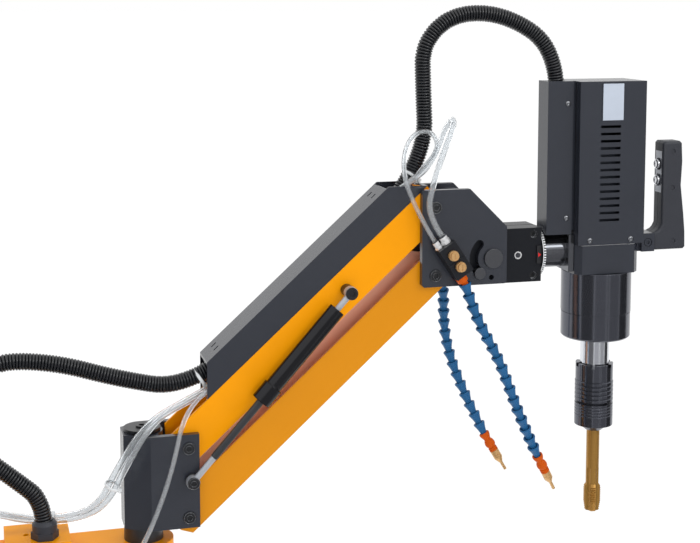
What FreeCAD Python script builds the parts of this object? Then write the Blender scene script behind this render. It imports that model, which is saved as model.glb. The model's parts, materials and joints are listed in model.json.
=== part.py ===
import FreeCAD, Part
import Sketcher
import math
import os
import re

# Arm tapping machine in its rest pose.
# The origin is the centre of the flange underside, Z is up and X runs toward the tapping head.
# All sizes are in millimetres, and names ending in _share are ratios.

SIZES = [
    # base and column
    ("flange_dia", 200), ("flange_thick", 16), ("flange_pcd", 165), ("flange_hole_dia", 13),
    ("base_boss_dia", 110), ("base_boss_tall", 34), ("column_dia", 76), ("hub_gap", 2),
    ("spigot_dia", 40), ("bush_wall", 4), ("bush_long", 18), ("run_gap", 0.05), ("face_gap", 0.4),
    ("cap_thick", 5), ("cap_dia", 58), ("cap_screw_dia", 8),
    # rear arm
    ("arm_width", 76), ("arm_top", 326), ("arm_tall", 80), ("arm_wall", 7), ("hub_wall", 9),
    ("post_x", 400), ("box_x", 226), ("box_long", 80), ("box_tall", 18), ("box_wall", 3),
    ("box_hole_dia", 7), ("gland_x", 275), ("gland_y", -15),
    # front post and swivel bracket
    ("post_dia", 50), ("post_shoulder", 20), ("journal_dia", 38), ("post_cap_dia", 47), ("post_cap_thick", 4),
    ("pivot_reach", 54), ("bracket_rise", 14), ("bracket_high", 108), ("barrel_dia", 52),
    ("cheek_inner", 28.5), ("cheek_thick", 9.5), ("cheek_end", 13.5), ("cheek_root", 48),
    # parallel links
    ("pivot_tall", 90), ("link_long", 440), ("link_angle", 42),
    ("channel_half", 28), ("channel_above", 26), ("channel_below", 22), ("sheet_wall", 4),
    ("end_over", 12), ("end_nose", 20), ("end_step", 8), ("end_top", 6),
    ("pivot_pin_dia", 14), ("pin_head_dia", 16), ("pin_head_tall", 2), ("sleeve_dia", 22), ("sleeve_gap", 0.5),
    ("hex_across", 8), ("hex_deep", 1.6),
    # cable cover
    ("cable_cover_tall", 36), ("cable_cover_start", 26), ("cover_end_in", 6.5), ("cover_over", 118.1),
    ("cover_sheet", 1.5), ("cover_mouth", 51), ("roof_mouth_long", 66), ("roof_mouth_in", 80),
    ("tie_slot_long", 8), ("tie_slot_wide", 3), ("tie_slot_in", 12), ("tie_slot_spread", 9),
    # gas spring
    ("gas_y", -50), ("gas_low_x", 3), ("gas_low_z", 50), ("gas_stud_along", 282.7), ("gas_stud_across", 1.9),
    ("stud_dia", 10), ("stud_head_dia", 16), ("eye_dia", 17), ("eye_thick", 9), ("eye_neck_dia", 8),
    ("rod_dia", 10), ("gas_barrel_dia", 22), ("gas_barrel_bore", 16), ("gas_collar_dia", 26),
    ("gas_collar_long", 25), ("gas_barrel_long", 151), ("barrel_eye_neck", 27), ("rod_inner_long", 83),
    ("rod_eye_neck", 40),
    # head bracket plates, relative to the lower head pivot
    ("plate_left", 18.5), ("plate_right", 99.5), ("plate_low", 15), ("plate_high", 113), ("plate_chamfer", 52),
    ("corner_cut", 3), ("pin_reach", 80), ("pin_rise", 19.6), ("tilt_pin_dia", 18), ("tilt_head_dia", 26),
    ("tilt_head_tall", 3.5), ("slot_radius", 27), ("slot_wide", 12), ("lock_dia", 10), ("lock_head_dia", 15.5),
    ("lock_start", 225), ("slot_sweep", 90), ("small_hole_x", 78), ("small_hole_z", -6), ("small_hole_dia", 7),
    ("bridge_x", 36), ("bridge_long", 14), ("bridge_z", 74), ("bridge_tall", 32),
    # index block
    ("block_half", 36.5), ("block_depth", 55), ("block_right", 153), ("split_wide", 2), ("split_start", 92),
    ("bore_start", 98), ("clamp_x", 142), ("clamp_rise", 28), ("clamp_dia", 6), ("clamp_head_dia", 10),
    ("clamp_head_deep", 7), ("plug_x", 120), ("plug_dia", 11), ("plug_deep", 6),
    ("pointer_plate_wide", 7), ("pointer_plate_tall", 24), ("pointer_plate_thick", 2), ("mark_tall", 6.5),
    ("mark_wide", 4.5), ("mark_thick", 0.8),
    # head shaft, dial and motor block
    ("shaft_dia", 46), ("shaft_gap", 0.05), ("dial_dia", 68), ("dial_thick", 4), ("dial_gap", 0.5),
    ("axis_reach", 247), ("block_left", 47.5), ("block_wide", 92.5), ("block_front", -40), ("block_back", 36),
    ("block_drop", 29.3), ("motor_block_tall", 40.3), ("block_chamfer", 8),
    ("mount_thick", 8), ("mount_tall", 51), ("mount_half", 30),
    # motor cover and side box
    ("cover_left", 47), ("cover_wide", 96.5), ("cover_front", -42), ("cover_deep", 72), ("cover_tall", 220),
    ("shell_wall", 2), ("joint_gap", 0.6), ("vent_in", 16.5), ("vent_wide", 29), ("vent_rise", 72.3),
    ("vent_pitch", 9.7), ("vent_tall", 3.5), ("label_in", 16), ("label_rise", 208.3), ("label_wide", 29.5),
    ("label_tall", 50), ("label_thick", 0.6), ("cover_screw_dia", 6), ("cover_screw_head_dia", 8),
    ("cover_screw_head_tall", 1.4), ("screw_low", 6), ("screw_spread", 60),
    ("side_wide", 36.5), ("side_front", -31), ("side_deep", 33), ("side_rise", 55.3),
    ("side_tall", 206), ("conduit_hole_dia", 23), ("side_screw_in", 8), ("side_screw_low", 22),
    ("side_screw_high", 176), ("gasket_thick", 5), ("gasket_in", 5),
    # motor, gearbox and spindle
    ("motor_wide", 55), ("motor_tall", 130), ("motor_flange_tall", 10), ("motor_shaft_dia", 14),
    ("gear_dia", 96), ("gear_low_dia", 95), ("seam_drop", 57.7), ("gear_drop", 93.2),
    ("gear_wall", 9), ("seam_tall", 1.2), ("bearing_outer", 62), ("bearing_tall", 15), ("spindle_dia", 40),
    ("spindle_drop", 18.7), ("coupling_dia", 30), ("coupling_tall", 30), ("spindle_show", 38),
    # chuck
    ("chuck_dia", 53), ("chuck_plain_dia", 51.6), ("chuck_long", 95.5), ("chuck_bore_dia", 30), ("crown_tall", 5),
    ("crown_wide", 7), ("sleeve_rise", 41.5), ("chuck_nose_dia", 24), ("cone_tall", 7.2), ("roll_pitch", 6),
    ("roll_deep", 1.2), ("nose_core_dia", 40), ("sleeve_foot_dia", 46), ("sleeve_travel", 2),
    ("ring_pitch", 4.2), ("ring_deep", 0.8),
    # tap
    ("tap_shank_dia", 18), ("tap_thread_dia", 24), ("tap_pitch", 3), ("tap_core_dia", 20.7), ("tap_out", 119.4),
    ("tap_point_dia", 5), ("tap_point_long", 2.6), ("tap_tip_dia", 18.4), ("lead_step", 0.45), ("flute_dia", 12),
    ("flute_long", 64), ("flute_offset", 13.5), ("neck_rise", 41),
    # handle
    ("clamp_gap", 0.5), ("handle_clamp_long", 19), ("clamp_lift", 27.3), ("clamp_tall", 25), ("clamp_front", -36),
    ("clamp_deep", 34), ("tongue_in", 6), ("tongue_tall", 12), ("clamp_screw_dia", 10),
    ("grip_in", 81.5), ("grip_out", 110), ("heel_out", 118), ("grip_tall", 150), ("grip_waist", 3),
    ("grip_half", 14), ("grip_mid_y", -19), ("grip_round", 4), ("foot_tall", 28), ("handle_seam", 0.3),
    ("button_plate_rise", 79), ("button_plate_tall", 57), ("button_plate_wide", 17), ("button_plate_thick", 2),
    ("button_dia", 14), ("button_tall", 5), ("button_travel", 2.5), ("high_button_rise", 118),
    ("low_button_rise", 96), ("button_hole_gap", 0.3), ("button_deep", 8), ("grip_screw_dia", 7),
    ("grip_screw_deep", 1.2),
    # spray manifolds
    ("spray_x", 21), ("spray_z", 22.6), ("spray_tilt", 33.7), ("spray_wide", 26), ("spray_long", 47),
    ("spray_deep", 22), ("knob_spread", 9), ("knob_dia", 14), ("knob_tall", 11), ("knob_slot_wide", 2),
    ("knob_slot_deep", 2), ("knob_stem_dia", 7), ("knob_stem_deep", 8), ("fitting_dia", 10),
    ("fitting_tall", 12), ("fitting_a", -8), ("fitting_b", 4), ("rear_spray_x", 36), ("rear_spray_low", 14),
    ("rear_spray_wide", 24), ("rear_spray_tall", 30), ("rear_spray_deep", 20), ("seam_cut", 0.8),
    # segmented hoses
    ("hose_step", 15.8), ("hose_wide_dia", 16.8), ("hose_narrow_dia", 9.5), ("hose_lip", 2.4),
    ("hose_neck_dia", 8), ("hose_neck_in", 4), ("hose_front_across", -5), ("hose_rear_z", 4),
    ("connector_long", 29), ("connector_dia", 15), ("connector_stub", 12), ("connector_stub_gap", 3.4),
    ("tip_long", 31), ("tip_dia", 12),
    # conduits, tubes and their ends
    ("conduit_dia", 21.2), ("conduit_bore", 16.5), ("tube_dia", 8), ("tube_bore", 5.5), ("thin_dia", 6),
    ("thin_bore", 4), ("gland_hex", 30), ("gland_hex_tall", 9), ("gland_nut_dia", 31), ("gland_nut_tall", 14),
    ("gland_thread_dia", 20), ("gland_thread_tall", 10), ("tie_wide", 4), ("tie_thick", 1.2), ("tie_head", 6),
    ("tube_hole_x", 160), ("tube_hole_y", 10), ("tube_hole_step", 14), ("thin_hole_x", 330), ("thin_hole_drop", 42),
]

doc = FreeCAD.newDocument("ArmTappingMachine")
sizes = doc.addObject("Spreadsheet::Sheet", "Sizes")
for row, (alias, number) in enumerate(SIZES, start=1):
    sizes.set(f"A{row}", alias)
    sizes.set(f"B{row}", str(number))
    sizes.setAlias(f"B{row}", alias)

DERIVED = [
    # arm and links
    ("arm_low", "=arm_top - arm_tall"),
    ("column_top", "=arm_low - hub_gap"),
    ("shoulder_top", "=arm_top + post_shoulder"),
    ("thin_hole_z", "=arm_top - thin_hole_drop"),
    ("pivot_x", "=post_x + pivot_reach"),
    ("pivot_z", "=shoulder_top + bracket_rise"),
    ("bracket_low", "=bracket_rise - face_gap"),
    ("cheek_outer", "=cheek_inner + cheek_thick"),
    ("head_x", "=pivot_x + link_long * cos(link_angle * 1deg)"),
    ("head_z", "=pivot_z + link_long * sin(link_angle * 1deg)"),
    ("cable_cover_end", "=head_x - pivot_x - cover_end_in"),
    ("cable_cover_top", "=head_z - pivot_z + cover_over"),
    # gas spring
    ("gas_high_x", "=gas_stud_along * cos(link_angle * 1deg) - gas_stud_across * sin(link_angle * 1deg)"),
    ("gas_high_z", "=pivot_tall + gas_stud_along * sin(link_angle * 1deg)"
     " + gas_stud_across * cos(link_angle * 1deg)"),
    ("gas_long", "=sqrt((gas_high_z - gas_low_z)^2 + (gas_high_x - gas_low_x)^2)"),
    ("gas_barrel_end", "=gas_long - barrel_eye_neck"),
    ("gas_barrel_start", "=gas_barrel_end - gas_barrel_long"),
    ("rod_end", "=gas_barrel_start + rod_inner_long"),
    # head
    ("pin_x", "=head_x + pin_reach"),
    ("pin_z", "=head_z + pin_rise"),
    ("block_end", "=head_x + block_right"),
    ("axis_x", "=head_x + axis_reach"),
    ("motor_block_low", "=pin_z - block_drop"),
    ("cover_right", "=axis_x - cover_left + cover_wide"),
    ("vent_left", "=axis_x - vent_in"),
    ("vent_low", "=motor_block_low + vent_rise"),
    ("label_left", "=axis_x - label_in"),
    ("label_low", "=motor_block_low + label_rise"),
    ("side_left", "=axis_x - cover_left - gasket_thick - side_wide"),
    ("side_low", "=motor_block_low + side_rise"),
    ("gear_top", "=motor_block_low - face_gap"),
    ("gear_seam", "=motor_block_low - seam_drop"),
    ("gear_bottom", "=motor_block_low - gear_drop"),
    ("spindle_top", "=motor_block_low - spindle_drop"),
    ("chuck_top", "=gear_bottom - spindle_show"),
    ("chuck_low", "=chuck_top - chuck_long"),
    ("sleeve_top", "=chuck_low + sleeve_rise"),
    ("tap_tip", "=chuck_low - tap_out"),
    ("thread_low", "=tap_tip + tap_point_long"),
    ("tap_neck_high", "=tap_tip + neck_rise"),
    ("flute_top", "=tap_tip + flute_long"),
    # handle
    ("clamp_left", "=cover_right + clamp_gap"),
    ("clamp_low", "=motor_block_low + clamp_lift"),
    ("grip_left", "=axis_x + grip_in"),
    ("grip_right", "=axis_x + grip_out"),
    ("grip_heel", "=axis_x + heel_out"),
    ("grip_top", "=clamp_low + grip_tall"),
    ("foot_top", "=clamp_low + foot_tall"),
    ("button_plate_low", "=clamp_low + button_plate_rise"),
    ("button_high_z", "=clamp_low + high_button_rise"),
    ("button_low_z", "=clamp_low + low_button_rise"),
]
for row, (alias, formula) in enumerate(DERIVED, start=len(SIZES) + 1):
    sizes.set(f"A{row}", alias)
    sizes.set(f"B{row}", formula)
    sizes.setAlias(f"B{row}", alias)
doc.recompute()

NAMES = {alias for alias, _ in SIZES} | {alias for alias, _ in DERIVED}
FRONT = FreeCAD.Rotation(FreeCAD.Vector(1, 0, 0), 90)
BACK = FreeCAD.Rotation(FreeCAD.Vector(1, 0, 0), -90)
RIGHT = FreeCAD.Rotation(FreeCAD.Vector(0, 1, 0), 90)
LEFT = FreeCAD.Rotation(FreeCAD.Vector(0, 1, 0), -90)
UP = FreeCAD.Rotation()
DOWN = FreeCAD.Rotation(FreeCAD.Vector(1, 0, 0), 180)


def bound(text):
    """Writes the sheet's name in front of every alias in an expression."""
    return re.sub(r"[a-z]\w*", lambda m: "Sizes." + m.group(0) if m.group(0) in NAMES else m.group(0), str(text))


def amount(text):
    """The value an expression has now."""
    got = sizes.evalExpression(bound(text))
    return float(getattr(got, "Value", got))


def bind(feature, prop, text):
    feature.setExpression(prop, bound(text))


def move(feature, x, y, z):
    for axis, text in zip("xyz", (x, y, z)):
        if str(text) != "0":
            bind(feature, f"Placement.Base.{axis}", text)


def new_body(label, x="0", y="0", z="0", rotation=UP, angle=None, axis=None):
    """An empty body under a node name. Its features are written in its own coordinates."""
    body = doc.addObject("PartDesign::Body", label)
    body.Label = label
    body.Placement = FreeCAD.Placement(FreeCAD.Vector(), rotation)
    if angle is not None:
        body.Placement = FreeCAD.Placement(FreeCAD.Vector(), FreeCAD.Rotation(axis, amount(angle)))
        bind(body, "Placement.Rotation.Angle", f"({angle}) * 1deg")
    move(body, x, y, z)
    return body


def box(body, x, y, z, length, width, height, cut=False):
    kind = "PartDesign::SubtractiveBox" if cut else "PartDesign::AdditiveBox"
    feature = body.newObject(kind, "Box")
    bind(feature, "Length", length)
    bind(feature, "Width", width)
    bind(feature, "Height", height)
    move(feature, x, y, z)
    return feature


def cylinder(body, x, y, z, diameter, height, way=UP, cut=False):
    kind = "PartDesign::SubtractiveCylinder" if cut else "PartDesign::AdditiveCylinder"
    feature = body.newObject(kind, "Cylinder")
    feature.Placement = FreeCAD.Placement(FreeCAD.Vector(), way)
    bind(feature, "Radius", f"({diameter}) / 2")
    bind(feature, "Height", height)
    move(feature, x, y, z)
    return feature


def hexagon(body, x, y, z, across, height, way=UP, cut=False):
    kind = "PartDesign::SubtractivePrism" if cut else "PartDesign::AdditivePrism"
    feature = body.newObject(kind, "Hexagon")
    feature.Placement = FreeCAD.Placement(FreeCAD.Vector(), way)
    feature.Polygon = 6
    bind(feature, "Circumradius", f"({across}) / sqrt(3)")
    bind(feature, "Height", height)
    move(feature, x, y, z)
    return feature


def outline(body, plane, offset, points):
    """A closed sketch of straight lines with every corner held by two bound dimensions."""
    sketch = body.newObject("Sketcher::SketchObject", "Outline")
    origin = {feature.Role: feature for feature in body.Origin.OriginFeatures if hasattr(feature, "Role")}
    sketch.AttachmentSupport = [(origin[plane], "")]
    sketch.MapMode = "FlatFace"
    if offset != "0":
        bind(sketch, "AttachmentOffset.Base.z", offset)
    corners = [(amount(u), amount(v)) for u, v in points]
    count = len(corners)
    for i in range(count):
        a, b = corners[i], corners[(i + 1) % count]
        sketch.addGeometry(Part.LineSegment(FreeCAD.Vector(a[0], a[1], 0), FreeCAD.Vector(b[0], b[1], 0)), False)
    for i in range(count):
        sketch.addConstraint(Sketcher.Constraint("Coincident", i, 2, (i + 1) % count, 1))
    for i, (u, v) in enumerate(points):
        for kind, text, value, line in (("DistanceX", u, corners[i][0], -2), ("DistanceY", v, corners[i][1], -1)):
            if str(text) == "0":
                sketch.addConstraint(Sketcher.Constraint("PointOnObject", i, 1, line))
            else:
                index = sketch.addConstraint(Sketcher.Constraint(kind, -1, 1, i, 1, value))
                bind(sketch, f"Constraints[{index}]", text)
    return sketch


def slab_y(body, low, depth, points, cut=False):
    """Adds or cuts an outline given in X and Z, from Y = low over the depth."""
    offset = f"-({low})" if cut else f"-(({low}) + ({depth}))"
    sketch = outline(body, "XZ_Plane", offset, points)
    return slab(body, sketch, depth, cut)


def slab_z(body, low, height, points, cut=False):
    """Adds or cuts an outline given in X and Y, from Z = low over the height."""
    offset = f"({low}) + ({height})" if cut else f"{low}"
    sketch = outline(body, "XY_Plane", offset, points)
    return slab(body, sketch, height, cut)


def slab(body, sketch, depth, cut):
    feature = body.newObject("PartDesign::Pocket" if cut else "PartDesign::Pad", "Slab")
    feature.Profile = sketch
    bind(feature, "Length", depth)
    body.Tip = feature
    return feature


def turned(body, points, cut=False):
    """Turns an outline of radius and height about the body's own Z axis."""
    sketch = outline(body, "XZ_Plane", "0", points)
    feature = body.newObject("PartDesign::Groove" if cut else "PartDesign::Revolution", "Turned")
    feature.Profile = sketch
    feature.ReferenceAxis = (sketch, ["V_Axis"])
    feature.Angle = 360
    body.Tip = feature
    return feature


bend_share = 0.45


def tube_path(points):
    """Straight runs joined by tangent arcs, each taking a share of the shorter run at its corner."""
    spots = [FreeCAD.Vector(*p) for p in points]
    edges = []
    start = spots[0]
    for i in range(1, len(spots) - 1):
        before = spots[i] - spots[i - 1]
        after = spots[i + 1] - spots[i]
        turn = before.getAngle(after)
        shorter = min(before.Length, after.Length)
        reach = shorter * bend_share
        a = spots[i] - FreeCAD.Vector(before).normalize() * reach
        b = spots[i] + FreeCAD.Vector(after).normalize() * reach
        radius = reach / math.tan(turn / 2)
        inward = (FreeCAD.Vector(after).normalize() - FreeCAD.Vector(before).normalize()).normalize()
        middle = spots[i] + inward * (radius / math.cos(turn / 2) - radius)
        edges.append(Part.LineSegment(start, a).toShape())
        edges.append(Part.Arc(a, middle, b).toShape())
        start = b
    edges.append(Part.LineSegment(start, spots[-1]).toShape())
    return Part.Wire(edges)


def tube(points, outer, inner):
    path = tube_path(points)
    solids = []
    for diameter in (outer, inner):
        along = FreeCAD.Vector(*points[1]) - FreeCAD.Vector(*points[0])
        ring = Part.Wire([Part.makeCircle(diameter / 2, FreeCAD.Vector(*points[0]), along)])
        solids.append(path.makePipeShell([ring], True, False))
    return solids[0].cut(solids[1])


def keep_shape(label, shape):
    feature = doc.addObject("Part::Feature", label)
    feature.Label = label
    feature.Shape = shape
    feature.Placement = FreeCAD.Placement()
    return feature


Y_AXIS = FreeCAD.Vector(0, 1, 0)

# Column welded to its base flange, with the spigot that carries the rear arm
column = new_body("column")
cylinder(column, "0", "0", "0", "flange_dia", "flange_thick")
cylinder(column, "0", "0", "flange_thick", "base_boss_dia", "base_boss_tall - flange_thick")
for turn in (45, 135, 225, 315):
    cylinder(column, f"flange_pcd / 2 * cos({turn} * 1deg)", f"flange_pcd / 2 * sin({turn} * 1deg)", "0",
             "flange_hole_dia", "flange_thick", cut=True)
cylinder(column, "0", "0", "flange_thick / 2", "column_dia", "column_top - flange_thick / 2")
cylinder(column, "0", "0", "column_top", "spigot_dia", "arm_top - column_top")

# Cap bolt on top of the spigot
column_cap = new_body("column_cap")
cylinder(column_cap, "0", "0", "arm_top + face_gap", "cap_dia", "cap_thick")
cylinder(column_cap, "0", "0", "arm_top - face_gap", "spigot_dia", "2 * face_gap")
cylinder(column_cap, "0", "0", "arm_top - 3 * cap_screw_dia", "cap_screw_dia",
         "3 * cap_screw_dia + cap_thick + face_gap")
cylinder(column_cap, "0", "0", "arm_top + face_gap + cap_thick", "2 * cap_screw_dia", "cap_thick / 2")
hexagon(column_cap, "0", "0", "arm_top + face_gap + 3 * cap_thick / 2 - 2 * hex_deep", "hex_across", "2 * hex_deep",
        cut=True)
cylinder(column, "0", "0", "arm_top - 3 * cap_screw_dia", "cap_screw_dia", "3 * cap_screw_dia", cut=True)
cylinder(column, "0", "0", "arm_top - face_gap", "spigot_dia + bush_wall", "face_gap", cut=True)

# Rear arm as a box section with rounded ends and two hubs
rear_arm = new_body("rear_arm")
box(rear_arm, "0", "-arm_width / 2", "arm_low", "post_x", "arm_width", "arm_tall")
cylinder(rear_arm, "0", "0", "arm_low", "arm_width", "arm_tall")
cylinder(rear_arm, "post_x", "0", "arm_low", "arm_width", "arm_tall")
box(rear_arm, "spigot_dia / 2 + bush_wall + hub_wall", "arm_wall - arm_width / 2", "arm_low",
    "post_x - spigot_dia / 2 - bush_wall - post_dia / 2 - 2 * hub_wall", "arm_width - 2 * arm_wall",
    "arm_tall - arm_wall", cut=True)
cylinder(rear_arm, "0", "0", "arm_low", "spigot_dia + 2 * bush_wall", "arm_tall", cut=True)
cylinder(rear_arm, "post_x", "0", "arm_low", "post_dia", "arm_tall", cut=True)
cylinder(rear_arm, "gland_x", "gland_y", "arm_top - arm_wall", "gland_thread_dia", "arm_wall", cut=True)
for step in (0, 1):
    cylinder(rear_arm, f"tube_hole_x - {step} * tube_hole_step", "tube_hole_y", "arm_top - arm_wall",
             "tube_dia + 2 * joint_gap", "arm_wall", cut=True)
cylinder(rear_arm, "thin_hole_x", "-arm_width / 2", "thin_hole_z", "thin_dia + 2 * joint_gap", "arm_wall", BACK,
         cut=True)

# Bushes pressed into the two ends of the hub
column_bushes = new_body("column_bushes")
for low in ("arm_low", "arm_top - bush_long"):
    cylinder(column_bushes, "0", "0", low, "spigot_dia + 2 * bush_wall", "bush_long")
cylinder(column_bushes, "0", "0", "arm_low", "spigot_dia + 2 * run_gap", "arm_tall", cut=True)

# Raised box on the rear arm that the cable enters
junction_box = new_body("junction_box")
box(junction_box, "box_x", "-arm_width / 2", "arm_top", "box_long", "arm_width", "box_tall")
box(junction_box, "box_x + box_wall", "box_wall - arm_width / 2", "arm_top", "box_long - 2 * box_wall",
    "arm_width - 2 * box_wall", "box_tall - box_wall", cut=True)
cylinder(junction_box, "gland_x", "gland_y", "arm_top", "gland_thread_dia", "box_tall", cut=True)
cylinder(junction_box, "box_x + box_long / 3", "0", "arm_top", "box_hole_dia", "box_tall", cut=True)

# Front post with a shoulder for the swivel bracket
front_post = new_body("front_post")
cylinder(front_post, "post_x", "0", "arm_low", "post_dia", "arm_tall + post_shoulder")
cylinder(front_post, "post_x", "0", "shoulder_top", "journal_dia", "pivot_z + bracket_high - shoulder_top")
cylinder(front_post, "post_x", "0", "pivot_z + bracket_high - 3 * cap_screw_dia", "cap_screw_dia",
         "3 * cap_screw_dia", cut=True)
post_cap = new_body("post_cap")
cylinder(post_cap, "post_x", "0", "pivot_z + bracket_high + face_gap", "post_cap_dia", "post_cap_thick")
cylinder(post_cap, "post_x", "0", "pivot_z + bracket_high", "journal_dia - bush_wall", "face_gap")
cylinder(post_cap, "post_x", "0", "pivot_z + bracket_high - 3 * cap_screw_dia", "cap_screw_dia",
         "3 * cap_screw_dia + face_gap + post_cap_thick")
cylinder(post_cap, "post_x", "0", "pivot_z + bracket_high + face_gap + post_cap_thick", "2 * cap_screw_dia",
         "pin_head_tall")
hexagon(post_cap, "post_x", "0", "pivot_z + bracket_high + face_gap + post_cap_thick + pin_head_tall - hex_deep",
        "hex_across", "hex_deep", cut=True)

# Swivel bracket with a barrel and two cheeks
swivel_bracket = new_body("swivel_bracket")
cylinder(swivel_bracket, "post_x", "0", "pivot_z - bracket_low", "barrel_dia", "bracket_low + bracket_high")
slab_z(swivel_bracket, "pivot_z - bracket_low", "bracket_low + bracket_high", [
    ("post_x - barrel_dia / 2", "-cheek_outer / 2"), ("post_x + pivot_reach - cheek_root", "-cheek_outer"),
    ("pivot_x + cheek_end", "-cheek_outer"), ("pivot_x + cheek_end", "-cheek_inner"),
    ("post_x + barrel_dia / 3", "-cheek_inner"), ("post_x + barrel_dia / 3", "cheek_inner"),
    ("pivot_x + cheek_end", "cheek_inner"), ("pivot_x + cheek_end", "cheek_outer"),
    ("post_x + pivot_reach - cheek_root", "cheek_outer"), ("post_x - barrel_dia / 2", "cheek_outer / 2")])
cylinder(swivel_bracket, "post_x", "0", "pivot_z - bracket_low", "journal_dia + 2 * bush_wall",
         "bracket_low + bracket_high", cut=True)
for high in ("0", "pivot_tall"):
    cylinder(swivel_bracket, "pivot_x", "-cheek_outer", f"pivot_z + {high}", "pivot_pin_dia", "2 * cheek_outer",
             BACK, cut=True)
cylinder(swivel_bracket, "pivot_x + gas_low_x", "-cheek_outer", "pivot_z + gas_low_z", "stud_dia", "cheek_thick",
         BACK, cut=True)

swivel_bushes = new_body("swivel_bushes")
for low in ("pivot_z - bracket_low", "pivot_z + bracket_high - bush_long"):
    cylinder(swivel_bushes, "post_x", "0", low, "journal_dia + 2 * bush_wall", "bush_long")
cylinder(swivel_bushes, "post_x", "0", "pivot_z - bracket_low", "journal_dia + 2 * run_gap",
         "bracket_low + bracket_high", cut=True)


def pivot_pins(label, x, z):
    """Two shouldered pins, one above the other, through both plates, with a socket head in front."""
    pins = new_body(label)
    for rise in ("0", "pivot_tall"):
        cylinder(pins, x, "-cheek_outer", f"{z} + {rise}", "pivot_pin_dia", "2 * cheek_outer", BACK)
        cylinder(pins, x, "-cheek_outer - pin_head_tall", f"{z} + {rise}", "pin_head_dia", "pin_head_tall", BACK)
        cylinder(pins, x, "cheek_outer", f"{z} + {rise}", "pin_head_dia", "pin_head_tall", BACK)
        hexagon(pins, x, "-cheek_outer - pin_head_tall", f"{z} + {rise}", "hex_across", "hex_deep", BACK, cut=True)
    return pins


swivel_pins = pivot_pins("swivel_pins", "pivot_x", "pivot_z")
stud_x = "pivot_x + gas_low_x"
stud_z = "pivot_z + gas_low_z"
cylinder(swivel_pins, stud_x, "gas_y - eye_thick / 2 - face_gap", stud_z, "stud_dia",
         "-gas_y + eye_thick / 2 + face_gap - cheek_inner", BACK)
cylinder(swivel_pins, stud_x, "gas_y - eye_thick / 2 - pin_head_tall - face_gap", stud_z, "stud_head_dia",
         "pin_head_tall", BACK)
cylinder(swivel_pins, stud_x, "gas_y + eye_thick / 2 + face_gap", stud_z, "stud_head_dia",
         "-gas_y - eye_thick / 2 - face_gap - cheek_outer", BACK)
hexagon(swivel_pins, stud_x, "gas_y - eye_thick / 2 - pin_head_tall - face_gap", stud_z, "hex_across",
        "hex_deep", BACK, cut=True)
head_pins = pivot_pins("head_pins", "head_x", "head_z")

# Parallel channels with a sleeve across each end, built level and turned to the rest angle
CHANNEL = [("-end_over", "-channel_below"), ("link_long + end_over", "-channel_below"),
           ("link_long + end_nose", "-end_step"), ("link_long + end_nose", "end_step"),
           ("link_long + end_top", "channel_above"), ("-end_top", "channel_above"),
           ("-end_nose", "end_step"), ("-end_nose", "-end_step")]


def channel(label, z, end_gap):
    body = new_body(label, "pivot_x", "0", z, angle="-link_angle", axis=Y_AXIS)
    slab_y(body, "-channel_half", "2 * channel_half", CHANNEL)
    box(body, "-2 * end_nose", "sheet_wall - channel_half", "sheet_wall - channel_below", "link_long + 4 * end_nose",
        "2 * channel_half - 2 * sheet_wall", "channel_below + channel_above", cut=True)
    for x in ("0", "link_long"):
        cylinder(body, x, "-channel_half", "0", "sleeve_dia", "2 * channel_half", BACK)
    cylinder(body, "0", "-channel_half", "0", "pivot_pin_dia + 2 * run_gap", "2 * channel_half", BACK, cut=True)
    cylinder(body, "link_long", "-channel_half", "0", f"pivot_pin_dia + 2 * {end_gap}", "2 * channel_half", BACK,
             cut=True)
    return body


upper_channel = channel("upper_channel", "pivot_z + pivot_tall", "run_gap")
cylinder(upper_channel, "gas_stud_along", "-channel_half", "gas_stud_across", "stud_dia", "sheet_wall", BACK,
         cut=True)
lower_channel = channel("lower_channel", "pivot_z", "sleeve_gap")


# Cable cover on the upper channel, in the machine's own X and Z
slope = "tan(link_angle * 1deg)"
lift = "/ cos(link_angle * 1deg)"
cover_foot = "pivot_z + pivot_tall + channel_above " + lift
cover_roof = "pivot_z + pivot_tall + (channel_above + cable_cover_tall) " + lift
cable_cover = new_body("cable_cover")
slab_y(cable_cover, "-channel_half", "2 * channel_half", [
    ("pivot_x + cable_cover_start", f"{cover_foot} + cable_cover_start * {slope}"),
    ("pivot_x + (cable_cover_top - pivot_tall - channel_above {0}) / {1}".format(lift, slope),
     "pivot_z + cable_cover_top"),
    ("pivot_x + (cable_cover_top - pivot_tall - (channel_above + cable_cover_tall) {0}) / {1}".format(lift, slope),
     "pivot_z + cable_cover_top"),
    ("pivot_x + cable_cover_start", f"{cover_roof} + cable_cover_start * {slope}")])
inner_foot = "pivot_z + pivot_tall + (channel_above - channel_below) " + lift
inner_roof = "pivot_z + pivot_tall + (channel_above + cable_cover_tall - cover_sheet) " + lift
slab_y(cable_cover, "-channel_half + cover_sheet", "2 * channel_half - 2 * cover_sheet", [
    ("pivot_x + cable_cover_start + cover_sheet",
     f"{inner_foot} + cable_cover_start * {slope}"),
    ("pivot_x + cable_cover_end", f"{inner_foot} + cable_cover_end * {slope} - channel_below"),
    ("pivot_x + cable_cover_end", "pivot_z + cable_cover_top - cover_sheet"),
    ("pivot_x + (cable_cover_top - cover_sheet - pivot_tall - "
     "(channel_above + cable_cover_tall - cover_sheet) {0}) / {1}".format(lift, slope),
     "pivot_z + cable_cover_top - cover_sheet"),
    ("pivot_x + cable_cover_start + cover_sheet",
     f"{inner_roof} + (cable_cover_start + cover_sheet) * {slope}")], cut=True)
box(cable_cover, "pivot_x + cable_cover_start - cover_sheet", "-cover_mouth / 2",
    f"{cover_foot} + cable_cover_start * {slope} + cover_sheet / 2", "3 * cover_sheet", "cover_mouth",
    f"(cable_cover_tall {lift}) - 3 * cover_sheet", cut=True)
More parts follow.
